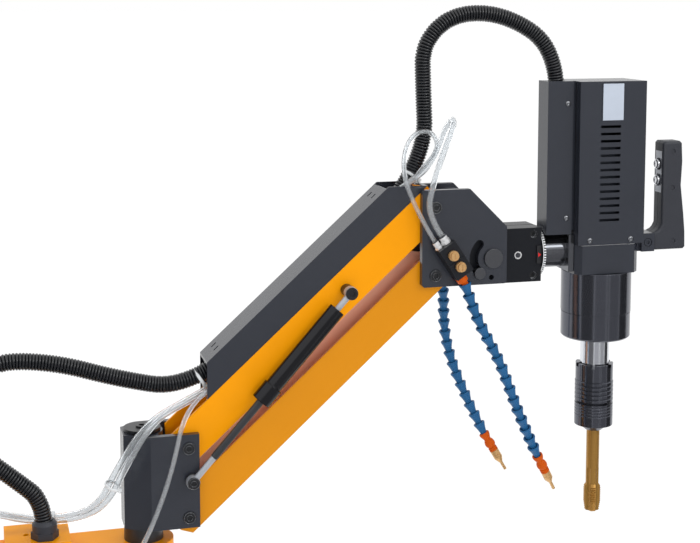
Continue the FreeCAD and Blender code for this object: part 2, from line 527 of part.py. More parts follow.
box(cable_cover, "head_x - roof_mouth_in", "-cover_mouth / 2", "pivot_z + cable_cover_top - 2 * cover_sheet",
    "roof_mouth_long", "cover_mouth", "3 * cover_sheet", cut=True)
slot_run = "tie_slot_long * cos(link_angle * 1deg)"
roof_corner = "(cable_cover_top - pivot_tall - (channel_above + cable_cover_tall) {0}) / {1}".format(lift, slope)
for near in ("cable_cover_start + tie_slot_in", f"{roof_corner} - tie_slot_in - {slot_run}"):
    far = f"{near} + {slot_run}"
    for side in ("-", "+"):
        slab_y(cable_cover, f"{side}tie_slot_spread - tie_slot_wide / 2", "tie_slot_wide", [
            (f"pivot_x + {near}", f"{cover_roof} + ({near}) * {slope} - 3 * cover_sheet"),
            (f"pivot_x + {far}", f"{cover_roof} + ({far}) * {slope} - 3 * cover_sheet"),
            (f"pivot_x + {far}", f"{cover_roof} + ({far}) * {slope} + cover_sheet"),
            (f"pivot_x + {near}", f"{cover_roof} + ({near}) * {slope} + cover_sheet")], cut=True)

# Gas spring studs, eyes, rod and barrel
gas_stud_high = new_body("gas_stud_high")
cylinder(gas_stud_high, "pivot_x + gas_high_x", "gas_y - eye_thick / 2", "pivot_z + gas_high_z", "stud_dia",
         "-gas_y + eye_thick / 2 - channel_half + sheet_wall", BACK)
cylinder(gas_stud_high, "pivot_x + gas_high_x", "gas_y + eye_thick / 2 + face_gap", "pivot_z + gas_high_z",
         "stud_head_dia", "-gas_y - eye_thick / 2 - face_gap - channel_half", BACK)
cylinder(gas_stud_high, "pivot_x + gas_high_x", "gas_y - eye_thick / 2 - pin_head_tall - face_gap",
         "pivot_z + gas_high_z", "stud_head_dia", "pin_head_tall + face_gap / 2", BACK)
cylinder(gas_stud_high, "pivot_x + gas_high_x", "gas_y - eye_thick / 2 - face_gap", "pivot_z + gas_high_z",
         "stud_dia", "face_gap", BACK)
hexagon(gas_stud_high, "pivot_x + gas_high_x", "gas_y - eye_thick / 2 - pin_head_tall - face_gap",
        "pivot_z + gas_high_z", "hex_across", "hex_deep", BACK, cut=True)

gas_turn = "90 - atan((gas_high_z - gas_low_z) / (gas_high_x - gas_low_x)) / 1deg"


def gas_body(label):
    return new_body(label, "pivot_x + gas_low_x", "gas_y", "pivot_z + gas_low_z", angle=gas_turn, axis=Y_AXIS)


gas_rod_eye = gas_body("gas_rod_eye")
cylinder(gas_rod_eye, "0", "-eye_thick / 2", "0", "eye_dia", "eye_thick", BACK)
cylinder(gas_rod_eye, "0", "0", "eye_dia / 4", "eye_neck_dia", "rod_eye_neck - eye_dia / 4")
cylinder(gas_rod_eye, "0", "-eye_thick / 2", "0", "stud_dia + 2 * run_gap", "eye_thick", BACK, cut=True)
gas_rod = gas_body("gas_rod")
cylinder(gas_rod, "0", "0", "rod_eye_neck", "rod_dia", "rod_end - rod_eye_neck")
gas_barrel = gas_body("gas_barrel")
cylinder(gas_barrel, "0", "0", "gas_barrel_start", "gas_barrel_dia", "gas_barrel_end - gas_barrel_start")
cylinder(gas_barrel, "0", "0", "gas_barrel_start", "gas_collar_dia", "gas_collar_long")
cylinder(gas_barrel, "0", "0", "gas_barrel_start", "gas_barrel_bore", "rod_inner_long + 4 * gas_barrel_bore",
         cut=True)
gas_barrel_eye = gas_body("gas_barrel_eye")
cylinder(gas_barrel_eye, "0", "-eye_thick / 2", "gas_long", "eye_dia", "eye_thick", BACK)
cylinder(gas_barrel_eye, "0", "0", "gas_barrel_end", "eye_neck_dia", "barrel_eye_neck - eye_dia / 4")
cylinder(gas_barrel_eye, "0", "-eye_thick / 2", "gas_long", "stud_dia + 2 * run_gap", "eye_thick", BACK, cut=True)

# Head bracket plates, each with the pivot holes and the front one with the arc slot


def head_plate(label, low, slotted):
    body = new_body(label)
    slab_y(body, low, "cheek_thick", [
        ("head_x - plate_left + corner_cut", "head_z - plate_low"),
        ("head_x + plate_right - corner_cut", "head_z - plate_low"),
        ("head_x + plate_right", "head_z - plate_low + corner_cut"),
        ("head_x + plate_right", "head_z + plate_high - plate_chamfer"),
        ("head_x + plate_right - plate_chamfer", "head_z + plate_high"),
        ("head_x - plate_left", "head_z + plate_high"),
        ("head_x - plate_left", "head_z - plate_low + corner_cut")])
    for rise in ("0", "pivot_tall"):
        cylinder(body, "head_x", low, f"head_z + {rise}", "pivot_pin_dia", "cheek_thick", BACK, cut=True)
    cylinder(body, "pin_x", low, "pin_z", "tilt_pin_dia", "cheek_thick", BACK, cut=True)
    if not slotted:
        return body
    cylinder(body, "head_x + small_hole_x", low, "head_z + small_hole_z", "small_hole_dia", "cheek_thick",
             BACK, cut=True)
    slab_y_arc(body, low)
    return body


def slab_y_arc(body, low):
    """Cuts the arc slot about the tilt pin, as an outline of short straight lines."""
    steps = 12
    outer = []
    inner = []
    for i in range(steps + 1):
        turn = f"(lock_start - slot_sweep * {i} / {steps}) * 1deg"
        outer.append((f"pin_x + (slot_radius + slot_wide / 2) * cos({turn})",
                      f"pin_z + (slot_radius + slot_wide / 2) * sin({turn})"))
        inner.append((f"pin_x + (slot_radius - slot_wide / 2) * cos({turn})",
                      f"pin_z + (slot_radius - slot_wide / 2) * sin({turn})"))
    slab_y(body, low, "cheek_thick", outer + inner[::-1], cut=True)
    for turn in ("lock_start", "lock_start - slot_sweep"):
        cylinder(body, f"pin_x + slot_radius * cos(({turn}) * 1deg)", low,
                 f"pin_z + slot_radius * sin(({turn}) * 1deg)", "slot_wide", "cheek_thick", BACK, cut=True)
    return body


front_plate = head_plate("front_plate", "-cheek_outer", True)
rear_plate = head_plate("rear_plate", "cheek_inner", False)
box(rear_plate, "head_x + bridge_x", "-cheek_inner", "head_z + bridge_z", "bridge_long", "2 * cheek_inner",
    "bridge_tall")

# Tilt pin and the lock screw that runs in the arc slot
tilt_pin = new_body("tilt_pin")
cylinder(tilt_pin, "pin_x", "-cheek_outer", "pin_z", "tilt_pin_dia", "2 * cheek_outer", BACK)
cylinder(tilt_pin, "pin_x", "-cheek_outer - tilt_head_tall", "pin_z", "tilt_head_dia", "tilt_head_tall", BACK)
cylinder(tilt_pin, "pin_x", "cheek_outer", "pin_z", "tilt_head_dia", "tilt_head_tall", BACK)
lock_x = "pin_x + slot_radius * cos(lock_start * 1deg)"
lock_z = "pin_z + slot_radius * sin(lock_start * 1deg)"
tilt_lock = new_body("tilt_lock")
cylinder(tilt_lock, lock_x, "-cheek_outer - face_gap", lock_z, "lock_dia",
         "cheek_thick + face_gap + block_depth / 4", BACK)
cylinder(tilt_lock, lock_x, "-cheek_outer - tilt_head_tall - face_gap", lock_z, "lock_head_dia",
         "tilt_head_tall", BACK)

# Index block, split above and below the shaft bore
index_block = new_body("index_block")
cylinder(index_block, "pin_x", "-block_depth / 2", "pin_z", "2 * block_half", "block_depth", BACK)
box(index_block, "pin_x", "-block_depth / 2", "pin_z - block_half", "block_end - pin_x", "block_depth",
    "2 * block_half")
cylinder(index_block, "pin_x", "-block_depth / 2", "pin_z", "tilt_pin_dia + 2 * run_gap", "block_depth", BACK,
         cut=True)
cylinder(index_block, lock_x, "-block_depth / 2", lock_z, "lock_dia", "block_depth / 4 + joint_gap", BACK, cut=True)
cylinder(index_block, "head_x + bore_start", "0", "pin_z", "shaft_dia + 2 * shaft_gap",
         "block_right - bore_start", RIGHT, cut=True)
box(index_block, "head_x + split_start", "-split_wide / 2", "pin_z - block_half", "block_right - split_start",
    "split_wide", "2 * block_half", cut=True)
for side in ("+", "-"):
    cylinder(index_block, "head_x + clamp_x", "-block_depth / 2", f"pin_z {side} clamp_rise", "clamp_dia",
             "block_depth", BACK, cut=True)
    cylinder(index_block, "head_x + clamp_x", "-block_depth / 2", f"pin_z {side} clamp_rise",
             "clamp_head_dia + split_wide / 2", "clamp_head_deep", BACK, cut=True)
cylinder(index_block, "head_x + plug_x", "-block_depth / 2", "pin_z", "plug_dia", "plug_deep", BACK, cut=True)

clamp_screws = new_body("clamp_screws")
for side in ("+", "-"):
    cylinder(clamp_screws, "head_x + clamp_x", "-block_depth / 2 + split_wide", f"pin_z {side} clamp_rise",
             "clamp_dia", "block_depth - 2 * split_wide", BACK)
    cylinder(clamp_screws, "head_x + clamp_x", "-block_depth / 2 + split_wide", f"pin_z {side} clamp_rise",
             "clamp_head_dia", "clamp_head_deep - split_wide", BACK)
    hexagon(clamp_screws, "head_x + clamp_x", "-block_depth / 2 + split_wide", f"pin_z {side} clamp_rise",
            "hex_across * 5 / 8", "2 * hex_deep", BACK, cut=True)
pointer_plate = new_body("pointer_plate")
box(pointer_plate, "block_end - pointer_plate_wide", "-block_depth / 2 - pointer_plate_thick",
    "pin_z - pointer_plate_tall / 2", "pointer_plate_wide", "pointer_plate_thick", "pointer_plate_tall")
slab_y(pointer_plate, "-block_depth / 2 - pointer_plate_thick - mark_thick", "mark_thick", [
    ("block_end - mark_wide / 5 - mark_wide", "pin_z - mark_tall / 2"), ("block_end - mark_wide / 5", "pin_z"),
    ("block_end - mark_wide / 5 - mark_wide", "pin_z + mark_tall / 2")])

# Head shaft with the angle dial
head_shaft = new_body("head_shaft")
cylinder(head_shaft, "head_x + bore_start + joint_gap", "0", "pin_z", "shaft_dia",
         "axis_x - block_left - mount_thick - head_x - bore_start - joint_gap", RIGHT)
angle_dial = new_body("angle_dial")
cylinder(angle_dial, "block_end + dial_gap", "0", "pin_z", "dial_dia", "dial_thick", RIGHT)
cylinder(angle_dial, "block_end + dial_gap", "0", "pin_z", "shaft_dia", "dial_thick", RIGHT, cut=True)

# Square flange on the shaft, and the motor block
box(head_shaft, "axis_x - block_left - mount_thick", "-mount_half", "pin_z - mount_tall / 2", "mount_thick",
    "2 * mount_half", "mount_tall - joint_gap")
motor_block = new_body("motor_block")
slab_z(motor_block, "motor_block_low", "motor_block_tall", [
    ("axis_x - block_left", "block_front + block_chamfer"),
    ("axis_x - block_left + block_chamfer", "block_front"),
    ("axis_x - block_left + block_wide - block_chamfer", "block_front"),
    ("axis_x - block_left + block_wide", "block_front + block_chamfer"),
    ("axis_x - block_left + block_wide", "block_back - block_chamfer"),
    ("axis_x - block_left + block_wide - block_chamfer", "block_back"),
    ("axis_x - block_left + block_chamfer", "block_back"),
    ("axis_x - block_left", "block_back - block_chamfer")])
cylinder(motor_block, "axis_x", "0", "motor_block_low", "coupling_dia + 2 * gear_wall", "motor_block_tall", cut=True)

# Motor, and its shaft with the coupling
block_top = "motor_block_low + motor_block_tall"
motor = new_body("motor")
box(motor, "axis_x - motor_wide / 2", "-motor_wide / 2", f"{block_top}", "motor_wide", "motor_wide",
    "motor_flange_tall")
box(motor, "axis_x - motor_wide / 2 + shell_wall", "-motor_wide / 2 + shell_wall",
    f"{block_top} + motor_flange_tall", "motor_wide - 2 * shell_wall", "motor_wide - 2 * shell_wall",
    "motor_tall - motor_flange_tall")
cylinder(motor, "axis_x", "0", f"{block_top}", "motor_shaft_dia + 2 * face_gap", "motor_flange_tall", cut=True)
shaft_coupling = new_body("shaft_coupling")
cylinder(shaft_coupling, "axis_x", "0", "spindle_top - coupling_tall / 2", "coupling_dia + 2 * bush_wall",
         "coupling_tall")
cylinder(shaft_coupling, "axis_x", "0", "spindle_top + joint_gap", "motor_shaft_dia",
         f"{block_top} + motor_flange_tall - spindle_top - 2 * joint_gap")
cylinder(shaft_coupling, "axis_x", "0", "spindle_top - coupling_tall / 2", "coupling_dia",
         "coupling_tall / 2 + joint_gap", cut=True)

# Motor cover as an open box with vent slots, and the fixings on it
cover_bottom = f"({block_top} + joint_gap)"
cover_x = "axis_x - cover_left"
motor_cover = new_body("motor_cover")
box(motor_cover, cover_x, "cover_front", cover_bottom, "cover_wide", "cover_deep", "cover_tall")
box(motor_cover, f"{cover_x} + shell_wall", "cover_front + shell_wall", cover_bottom, "cover_wide - 2 * shell_wall",
    "cover_deep - 2 * shell_wall", "cover_tall - shell_wall", cut=True)
for i in range(14):
    box(motor_cover, "vent_left", "cover_front", f"vent_low + {i} * vent_pitch", "vent_wide", "shell_wall",
        "vent_tall", cut=True)
cover_screws = new_body("cover_screws")
for side in ("-", "+"):
    cylinder(motor_cover, f"axis_x {side} screw_spread / 2", "cover_front", f"{cover_bottom} + screw_low",
             "cover_screw_dia", "shell_wall", BACK, cut=True)
    cylinder(cover_screws, f"axis_x {side} screw_spread / 2", "cover_front", f"{cover_bottom} + screw_low",
             "cover_screw_dia", "shell_wall + cover_screw_dia", BACK)
    cylinder(cover_screws, f"axis_x {side} screw_spread / 2", "cover_front - cover_screw_head_tall",
             f"{cover_bottom} + screw_low", "cover_screw_head_dia", "cover_screw_head_tall", BACK)
    hexagon(cover_screws, f"axis_x {side} screw_spread / 2", "cover_front - cover_screw_head_tall",
            f"{cover_bottom} + screw_low", "hex_across / 2", "cover_screw_head_tall", BACK, cut=True)
box(motor_cover, "label_left", "cover_front - label_thick", "label_low", "label_wide", "label_thick", "label_tall")

# Side box for the cable
side_box = new_body("side_box")
box(side_box, "side_left", "side_front", "side_low", "side_wide", "side_deep", "side_tall")
box(side_box, "side_left + shell_wall", "side_front + shell_wall", "side_low", "side_wide - 2 * shell_wall",
    "side_deep - 2 * shell_wall", "side_tall - shell_wall", cut=True)
conduit_x = "side_left + side_wide / 2"
conduit_y = "side_front + side_deep / 2"
cylinder(side_box, conduit_x, conduit_y, "side_low + side_tall - shell_wall", "conduit_hole_dia", "shell_wall",
         cut=True)
for rise in ("side_screw_low", "side_screw_high"):
    cylinder(side_box, "side_left + side_wide - side_screw_in", "side_front", f"side_low + {rise}",
             "cover_screw_dia", "shell_wall", BACK, cut=True)
    cylinder(cover_screws, "side_left + side_wide - side_screw_in", "side_front", f"side_low + {rise}",
             "cover_screw_dia", "side_deep - 2 * shell_wall", BACK)
    cylinder(cover_screws, "side_left + side_wide - side_screw_in", "side_front - cover_screw_head_tall",
             f"side_low + {rise}", "cover_screw_head_dia", "cover_screw_head_tall", BACK)
    hexagon(cover_screws, "side_left + side_wide - side_screw_in", "side_front - cover_screw_head_tall",
            f"side_low + {rise}", "hex_across / 2", "cover_screw_head_tall", BACK, cut=True)
box(side_box, "side_left + side_wide", "side_front + gasket_in", "side_low + gasket_in",
    "gasket_thick", "side_deep - gasket_in", "side_tall - gasket_in")

# Gearbox housings, bearings and spindle
gear_upper = new_body("gear_upper", "axis_x", "0", "0")
cylinder(gear_upper, "0", "0", "gear_seam + seam_tall", "gear_dia", "gear_top - gear_seam - seam_tall")
cylinder(gear_upper, "0", "0", "gear_seam", "gear_dia - 2 * seam_tall", "seam_tall")
cylinder(gear_upper, "0", "0", "gear_seam", "bearing_outer + gear_wall", "gear_top - gear_seam", cut=True)
cylinder(gear_upper, "0", "0", "gear_top - joint_gap", "gear_dia - seam_tall", "face_gap + joint_gap")
cylinder(gear_upper, "0", "0", "gear_seam", "bearing_outer + gear_wall", "motor_block_low - gear_seam", cut=True)
gear_lower = new_body("gear_lower", "axis_x", "0", "0")
turned(gear_lower, [
    ("spindle_dia / 2 + face_gap", "gear_bottom"), ("gear_low_dia / 2 - 2 * seam_tall", "gear_bottom"),
    ("gear_low_dia / 2", "gear_bottom + 2 * seam_tall"), ("gear_low_dia / 2", "gear_seam"),
    ("bearing_outer / 2", "gear_seam"), ("bearing_outer / 2", "gear_bottom + gear_wall / 2"),
    ("spindle_dia / 2 + face_gap", "gear_bottom + gear_wall / 2")])
spindle_bearings = new_body("spindle_bearings", "axis_x", "0", "0")
for low in ("gear_bottom + gear_wall / 2", "gear_seam - bearing_tall"):
    cylinder(spindle_bearings, "0", "0", low, "bearing_outer", "bearing_tall")
cylinder(spindle_bearings, "0", "0", "gear_bottom", "spindle_dia + 2 * run_gap", "gear_top - gear_bottom", cut=True)
spindle = new_body("spindle", "axis_x", "0", "0")
cylinder(spindle, "0", "0", "chuck_top", "spindle_dia", "spindle_top - coupling_tall / 2 - chuck_top")
cylinder(spindle, "0", "0", "spindle_top - coupling_tall / 2", "coupling_dia", "coupling_tall / 2")
cylinder(spindle, "0", "0", "chuck_top - crown_tall - chuck_bore_dia / 2", "chuck_bore_dia",
         "chuck_bore_dia / 2 + crown_tall")

# Quick change chuck body, its sliding sleeve and the tap
chuck_body = new_body("chuck_body", "axis_x", "0", "0")
ROLLS = 5
ROLL_SHARES = ((0, "roll_deep"), (0.18, "0"), (0.74, "0"), (0.92, "roll_deep"))
grip_rolls = [(f"chuck_dia / 2 - {deep}", f"sleeve_top + ({i} + {share}) * roll_pitch")
              for i in range(ROLLS) for share, deep in ROLL_SHARES]
turned(chuck_body, [
    ("tap_shank_dia / 2", "chuck_low"), ("chuck_nose_dia / 2", "chuck_low"),
    ("nose_core_dia / 2", "chuck_low + cone_tall"), ("nose_core_dia / 2", "sleeve_top")] + grip_rolls + [
    ("chuck_plain_dia / 2", f"sleeve_top + {ROLLS} * roll_pitch"), ("chuck_plain_dia / 2", "chuck_top - joint_gap"),
    ("chuck_bore_dia / 2", "chuck_top - joint_gap"),
    ("chuck_bore_dia / 2", "chuck_top - crown_tall - chuck_bore_dia / 2"),
    ("tap_shank_dia / 2", "chuck_top - crown_tall - chuck_bore_dia / 2")])
for turn in (0, 60, 120, 180, 240, 300):
    feature = box(chuck_body, "0", "-crown_wide / 2", "chuck_top - crown_tall", "chuck_dia", "crown_wide",
                  "crown_tall", cut=True)
    feature.Placement = FreeCAD.Placement(FreeCAD.Vector(), FreeCAD.Rotation(FreeCAD.Vector(0, 0, 1), turn))
    bind(feature, "Placement.Base.x", f"sin({turn} * 1deg) * crown_wide / 2")
    bind(feature, "Placement.Base.y", f"-cos({turn} * 1deg) * crown_wide / 2")
    bind(feature, "Placement.Base.z", "chuck_top - crown_tall")
chuck_sleeve = new_body("chuck_sleeve", "axis_x", "0", "0")
RINGS = 4
collar_top = "sleeve_top - sleeve_travel - joint_gap"
rings = []
for i in range(RINGS, 0, -1):
    rings += [("chuck_dia / 2", f"{collar_top} - {i} * ring_pitch"),
              ("chuck_dia / 2 - ring_deep", f"{collar_top} - {i} * ring_pitch + ring_deep"),
              ("chuck_dia / 2", f"{collar_top} - {i} * ring_pitch + 2 * ring_deep")]
turned(chuck_sleeve, [
    ("nose_core_dia / 2 + run_gap", "chuck_low + cone_tall"), ("sleeve_foot_dia / 2", "chuck_low + cone_tall"),
    ("chuck_dia / 2", "chuck_low + cone_tall + ring_deep")] + rings + [
    ("chuck_dia / 2", collar_top), ("nose_core_dia / 2 + run_gap", collar_top)])

# Tap with a pointed tip, a tapered lead, four flutes and a plain shank
tap = new_body("tap", "axis_x", "0", "0")
THREADS, LEAD = 11, 4
teeth = [("0", "tap_tip"), ("tap_point_dia / 2", "tap_tip"), ("tap_point_dia / 2", "thread_low"),
         ("tap_tip_dia / 2", "thread_low")]
for i in range(THREADS):
    teeth.append((f"tap_thread_dia / 2 - {max(0, LEAD - i)} * lead_step", f"thread_low + ({i} + 0.5) * tap_pitch"))
    teeth.append((f"tap_core_dia / 2 - {max(0, LEAD - 1 - i)} * lead_step", f"thread_low + ({i} + 1) * tap_pitch"))
teeth += [("tap_thread_dia / 2 - lead_step", f"thread_low + ({THREADS} + 0.5) * tap_pitch"),
          ("tap_shank_dia / 2", "tap_neck_high"), ("tap_shank_dia / 2", "chuck_top - crown_tall - chuck_bore_dia"),
          ("0", "chuck_top - crown_tall - chuck_bore_dia")]
turned(tap, teeth)
for turn in (0, 90, 180, 270):
    cylinder(tap, f"flute_offset * cos({turn} * 1deg + 30deg)", f"flute_offset * sin({turn} * 1deg + 30deg)", "tap_tip",
             "flute_dia", "flute_top - tap_tip", cut=True)

# Handle clamp and the two moulded handle halves
handle_clamp = new_body("handle_clamp")
box(handle_clamp, "clamp_left", "clamp_front", "clamp_low", "handle_clamp_long", "clamp_deep", "clamp_tall")
box(handle_clamp, "axis_x - block_left + block_wide", "clamp_front + tongue_in", "clamp_low",
    "clamp_left - axis_x + block_left - block_wide", "clamp_deep - 2 * tongue_in", "tongue_tall")
cylinder(handle_clamp, "clamp_left + handle_clamp_long / 2", "clamp_front", "clamp_low + clamp_tall / 2",
         "clamp_screw_dia + pin_head_tall", "pin_head_tall", BACK, cut=True)
cylinder(handle_clamp, "clamp_left + handle_clamp_long / 2", "clamp_front + joint_gap", "clamp_low + clamp_tall / 2",
         "clamp_screw_dia", "pin_head_tall", BACK)
hexagon(handle_clamp, "clamp_left + handle_clamp_long / 2", "clamp_front + joint_gap", "clamp_low + clamp_tall / 2",
        "hex_across * 3 / 5", "hex_deep", BACK, cut=True)

GRIP = [("clamp_left + handle_clamp_long", "clamp_low + joint_gap"), ("grip_heel - grip_waist", "clamp_low + joint_gap"),
        ("grip_heel", "clamp_low + grip_waist + joint_gap"), ("grip_heel - joint_gap", "clamp_low + clamp_tall"),
        ("grip_heel - grip_waist", "foot_top + grip_waist * 7"), ("grip_right", "(foot_top + grip_top) / 2"),
        ("grip_right + grip_waist / 2", "grip_top - button_plate_tall / 2"), ("grip_right", "grip_top - grip_waist"),
        ("grip_right - grip_waist", "grip_top"), ("grip_left + grip_waist", "grip_top"),
        ("grip_left", "grip_top - grip_waist"), ("grip_left", "foot_top + grip_waist * 3"),
        ("grip_left - grip_waist", "foot_top + grip_waist"), ("grip_left - 2 * grip_waist", "foot_top"),
        ("clamp_left + handle_clamp_long", "foot_top - grip_waist")]


def outer_face(body, front):
    """The name of the flat face that looks away from the seam."""
    faces = body.Shape.Faces
    flat = [i for i, f in enumerate(faces) if abs(abs(f.normalAt(0, 0).y) - 1) < 0.001]
    best = min(flat, key=lambda i: faces[i].CenterOfMass.y if front else -faces[i].CenterOfMass.y)
    return f"Face{best + 1}"


def grip_half_shell(label, low, front):
    body = new_body(label)
    pad = slab_y(body, low, "grip_half - handle_seam / 2", GRIP)
    doc.recompute()
    rounding = body.newObject("PartDesign::Fillet", "Rounding")
    rounding.Base = (pad, [outer_face(body, front)])
    bind(rounding, "Radius", "grip_round")
    body.Tip = rounding
    doc.recompute()
    box(body, "grip_left", "grip_mid_y - button_plate_wide / 2", "button_plate_low", "button_plate_thick",
        "button_plate_wide", "button_plate_tall", cut=True)
    for z in ("button_high_z", "button_low_z"):
        cylinder(body, "grip_left", "grip_mid_y", z, "button_dia + 4 * button_hole_gap",
                 "button_deep + button_travel + button_plate_thick", RIGHT, cut=True)
    return body


handle_front = grip_half_shell("handle_front", "grip_mid_y - grip_half", True)
handle_rear = grip_half_shell("handle_rear", "grip_mid_y + handle_seam / 2", False)
for x, z in (("(grip_left + grip_right) / 2", "grip_top - button_plate_tall / 4"),
             ("(grip_left + grip_right) / 2", "(foot_top + grip_top) / 2 - grip_waist"),
             ("(grip_left + grip_right) / 2 + grip_waist", "clamp_low + clamp_tall / 2")):
    cylinder(handle_front, x, "grip_mid_y - grip_half", z, "grip_screw_dia", "grip_screw_deep", BACK, cut=True)
button_plate = new_body("button_plate")
box(button_plate, "grip_left", "grip_mid_y - button_plate_wide / 2", "button_plate_low", "button_plate_thick",
    "button_plate_wide", "button_plate_tall")
for z in ("button_high_z", "button_low_z"):
    cylinder(button_plate, "grip_left", "grip_mid_y", z, "button_dia + 2 * button_hole_gap", "button_plate_thick",
             RIGHT, cut=True)


def button(label, z):
    body = new_body(label)
    cylinder(body, "grip_left - button_tall", "grip_mid_y", z, "button_dia", "button_tall + button_deep", RIGHT)
    return body


button_high = button("button_high", "button_high_z")
button_low = button("button_low", "button_low_z")

# Spray blocks on the front and rear plates, with knobs and fittings
spray_x0 = "head_x + spray_x"
spray_z0 = "head_z + spray_z"
spray_blocks = new_body("spray_blocks")
along_x = "sin(spray_tilt * 1deg)"
along_z = "cos(spray_tilt * 1deg)"


def spray_point(across, along):
    """A point of the tilted spray block from its centre, across it and along it downwards."""
    return (f"{spray_x0} + ({across}) * {along_z} + ({along}) * {along_x}",
            f"{spray_z0} + ({across}) * {along_x} - ({along}) * {along_z}")


slab_y(spray_blocks, "-cheek_outer - spray_deep", "spray_deep", [
    spray_point("-spray_wide / 2", "-spray_long / 2"), spray_point("-spray_wide / 2", "spray_long / 2"),
    spray_point("spray_wide / 2", "spray_long / 2"), spray_point("spray_wide / 2", "-spray_long / 2")])
slab_y(spray_blocks, "-cheek_outer - spray_deep", "seam_cut", [
    spray_point("-spray_wide / 2", "-seam_cut / 2"), spray_point("-spray_wide / 2", "seam_cut / 2"),
    spray_point("spray_wide / 2", "seam_cut / 2"), spray_point("spray_wide / 2", "-seam_cut / 2")], cut=True)
for along in ("-knob_spread", "knob_spread"):
    x, z = spray_point("0", along)
    cylinder(spray_blocks, x, "-cheek_outer - spray_deep", z, "knob_stem_dia + 2 * run_gap",
             "knob_stem_deep + joint_gap", BACK, cut=True)
box(spray_blocks, "head_x + rear_spray_x - rear_spray_wide / 2", "cheek_outer", "head_z + rear_spray_low",
    "rear_spray_wide", "rear_spray_deep", "rear_spray_tall")


def valve_knob(label, along):
    x, z = spray_point("0", along)
    body = new_body(label, x, "-cheek_outer - spray_deep", z, rotation=FRONT)
    cylinder(body, "0", "0", "-knob_stem_deep", "knob_stem_dia", "knob_stem_deep + face_gap")
    cylinder(body, "0", "0", "face_gap", "knob_dia", "knob_tall - face_gap")
    box(body, "-knob_dia", "-knob_slot_wide / 2", "knob_tall - knob_slot_deep", "2 * knob_dia", "knob_slot_wide",
        "knob_slot_deep", cut=True)
    return body


knob_high = valve_knob("knob_high", "-knob_spread")
knob_low = valve_knob("knob_low", "knob_spread")

tube_fittings = new_body("tube_fittings", spray_x0, "-cheek_outer - spray_deep / 2", spray_z0, angle="-spray_tilt",
                         axis=Y_AXIS)
hexagon(tube_fittings, "fitting_b", "0", "spray_long / 2", "fitting_dia", "fitting_tall / 2")
cylinder(tube_fittings, "fitting_b", "0", "spray_long / 2", "fitting_dia * 4 / 5", "fitting_tall")
cylinder(tube_fittings, "fitting_a", "0", "spray_long / 2", "fitting_dia * 4 / 5", "fitting_tall")
hexagon(tube_fittings, "fitting_a", "0", "spray_long / 2", "fitting_dia", "fitting_tall / 3")

# Segmented coolant hoses, each segment a cup that holds the next one, bent by hand.
# A segment's turn is its angle from straight down toward +X, and its swing the angle toward +Y.
FRONT_TURNS = (20, 20, 22, 25, 28, 29, 28, 25, 22, 21, 21, 22, 24, 25, 26, 27, 27)
FRONT_SWINGS = (0, 0, 0, 0, 0, 0, 0, 0, 0, 0, 0, 2, 4, 6, 8, 9, 8)
REAR_TURNS = (12, 12, 12, 9, 6, 6, 8, 11, 14, 16, 19, 21, 21, 22, 24, 25, 24)
REAR_SWINGS = (18, 18, 17, 16, 14, 11, 8, 4, 0, -3, -6, -8, -10, -11, -12, -12, -12)
FRONT_END, REAR_END = (29, 8), (29, -12)
# Radius and place along the axis, as shares of the piece's own size
CONNECTOR_SHARES = ((1, 0), (1, 0.08), (0.62, 0.36), (0.95, 0.54), (0.95, 0.68), (0.72, 0.82), (0.8, 0.85), (0.8, 1))
TIP_SHARES = ((1, 0), (1, 0.42), (0.45, 0.6), (0.36, 0.64), (0.34, 1))


def heading(turn, swing):
    a, b = math.radians(turn), math.radians(swing)
    return FreeCAD.Vector(math.sin(a) * math.cos(b), math.sin(b), -math.cos(a) * math.cos(b))


def hose_steps(x, y, z, turns, swings, end):
    """The start of every segment and its direction, from the top down, and those of the connector."""
    spot = FreeCAD.Vector(amount(x), amount(y), amount(z))
    steps = []
    for turn, swing in zip(turns, swings):
        steps.append((spot, heading(turn, swing)))
        spot = spot + steps[-1][1] * amount("hose_step")
    steps.append((spot, heading(*end)))
    return steps


def lathe(profile, spot, way):
    """A solid turned from radius and height, set at a spot along a direction."""
    corners = [FreeCAD.Vector(r, 0, h) for r, h in [(0, profile[0][1])] + profile + [(0, profile[-1][1])]]
    face = Part.Face(Part.makePolygon(corners + corners[:1]))
    solid = face.revolve(FreeCAD.Vector(), FreeCAD.Vector(0, 0, 1), 360)
    solid.Placement = FreeCAD.Placement(spot, FreeCAD.Rotation(FreeCAD.Vector(0, 0, 1), way))
    return solid


wide_r, narrow_r = amount("hose_wide_dia / 2"), amount("hose_narrow_dia / 2")
neck_r, lip = amount("hose_neck_dia / 2"), amount("hose_lip")
cup_end = amount("hose_step - joint_gap")
CUP = [(wide_r - lip / 2, 0), (wide_r, lip / 2), (wide_r, lip), (narrow_r, cup_end)]
NECK = [(neck_r, cup_end), (neck_r, amount("hose_step + hose_neck_in"))]


def hose_shape(steps):
    cups = steps[:-1]
    pieces = [lathe(CUP + (NECK if i < len(cups) - 1 else []), spot, way) for i, (spot, way) in enumerate(cups)]
    return pieces[0].multiFuse(pieces[1:])


front_x, front_z = spray_point("hose_front_across", "spray_long / 2 + connector_stub")
front_steps = hose_steps(front_x, "-cheek_outer - spray_deep / 2", front_z, FRONT_TURNS, FRONT_SWINGS, FRONT_END)
rear_steps = hose_steps("head_x + rear_spray_x", "cheek_outer + rear_spray_deep / 2", "head_z + hose_rear_z",
                        REAR_TURNS, REAR_SWINGS, REAR_END)
coolant_hoses = keep_shape("coolant_hoses", Part.makeCompound([hose_shape(front_steps), hose_shape(rear_steps)]))

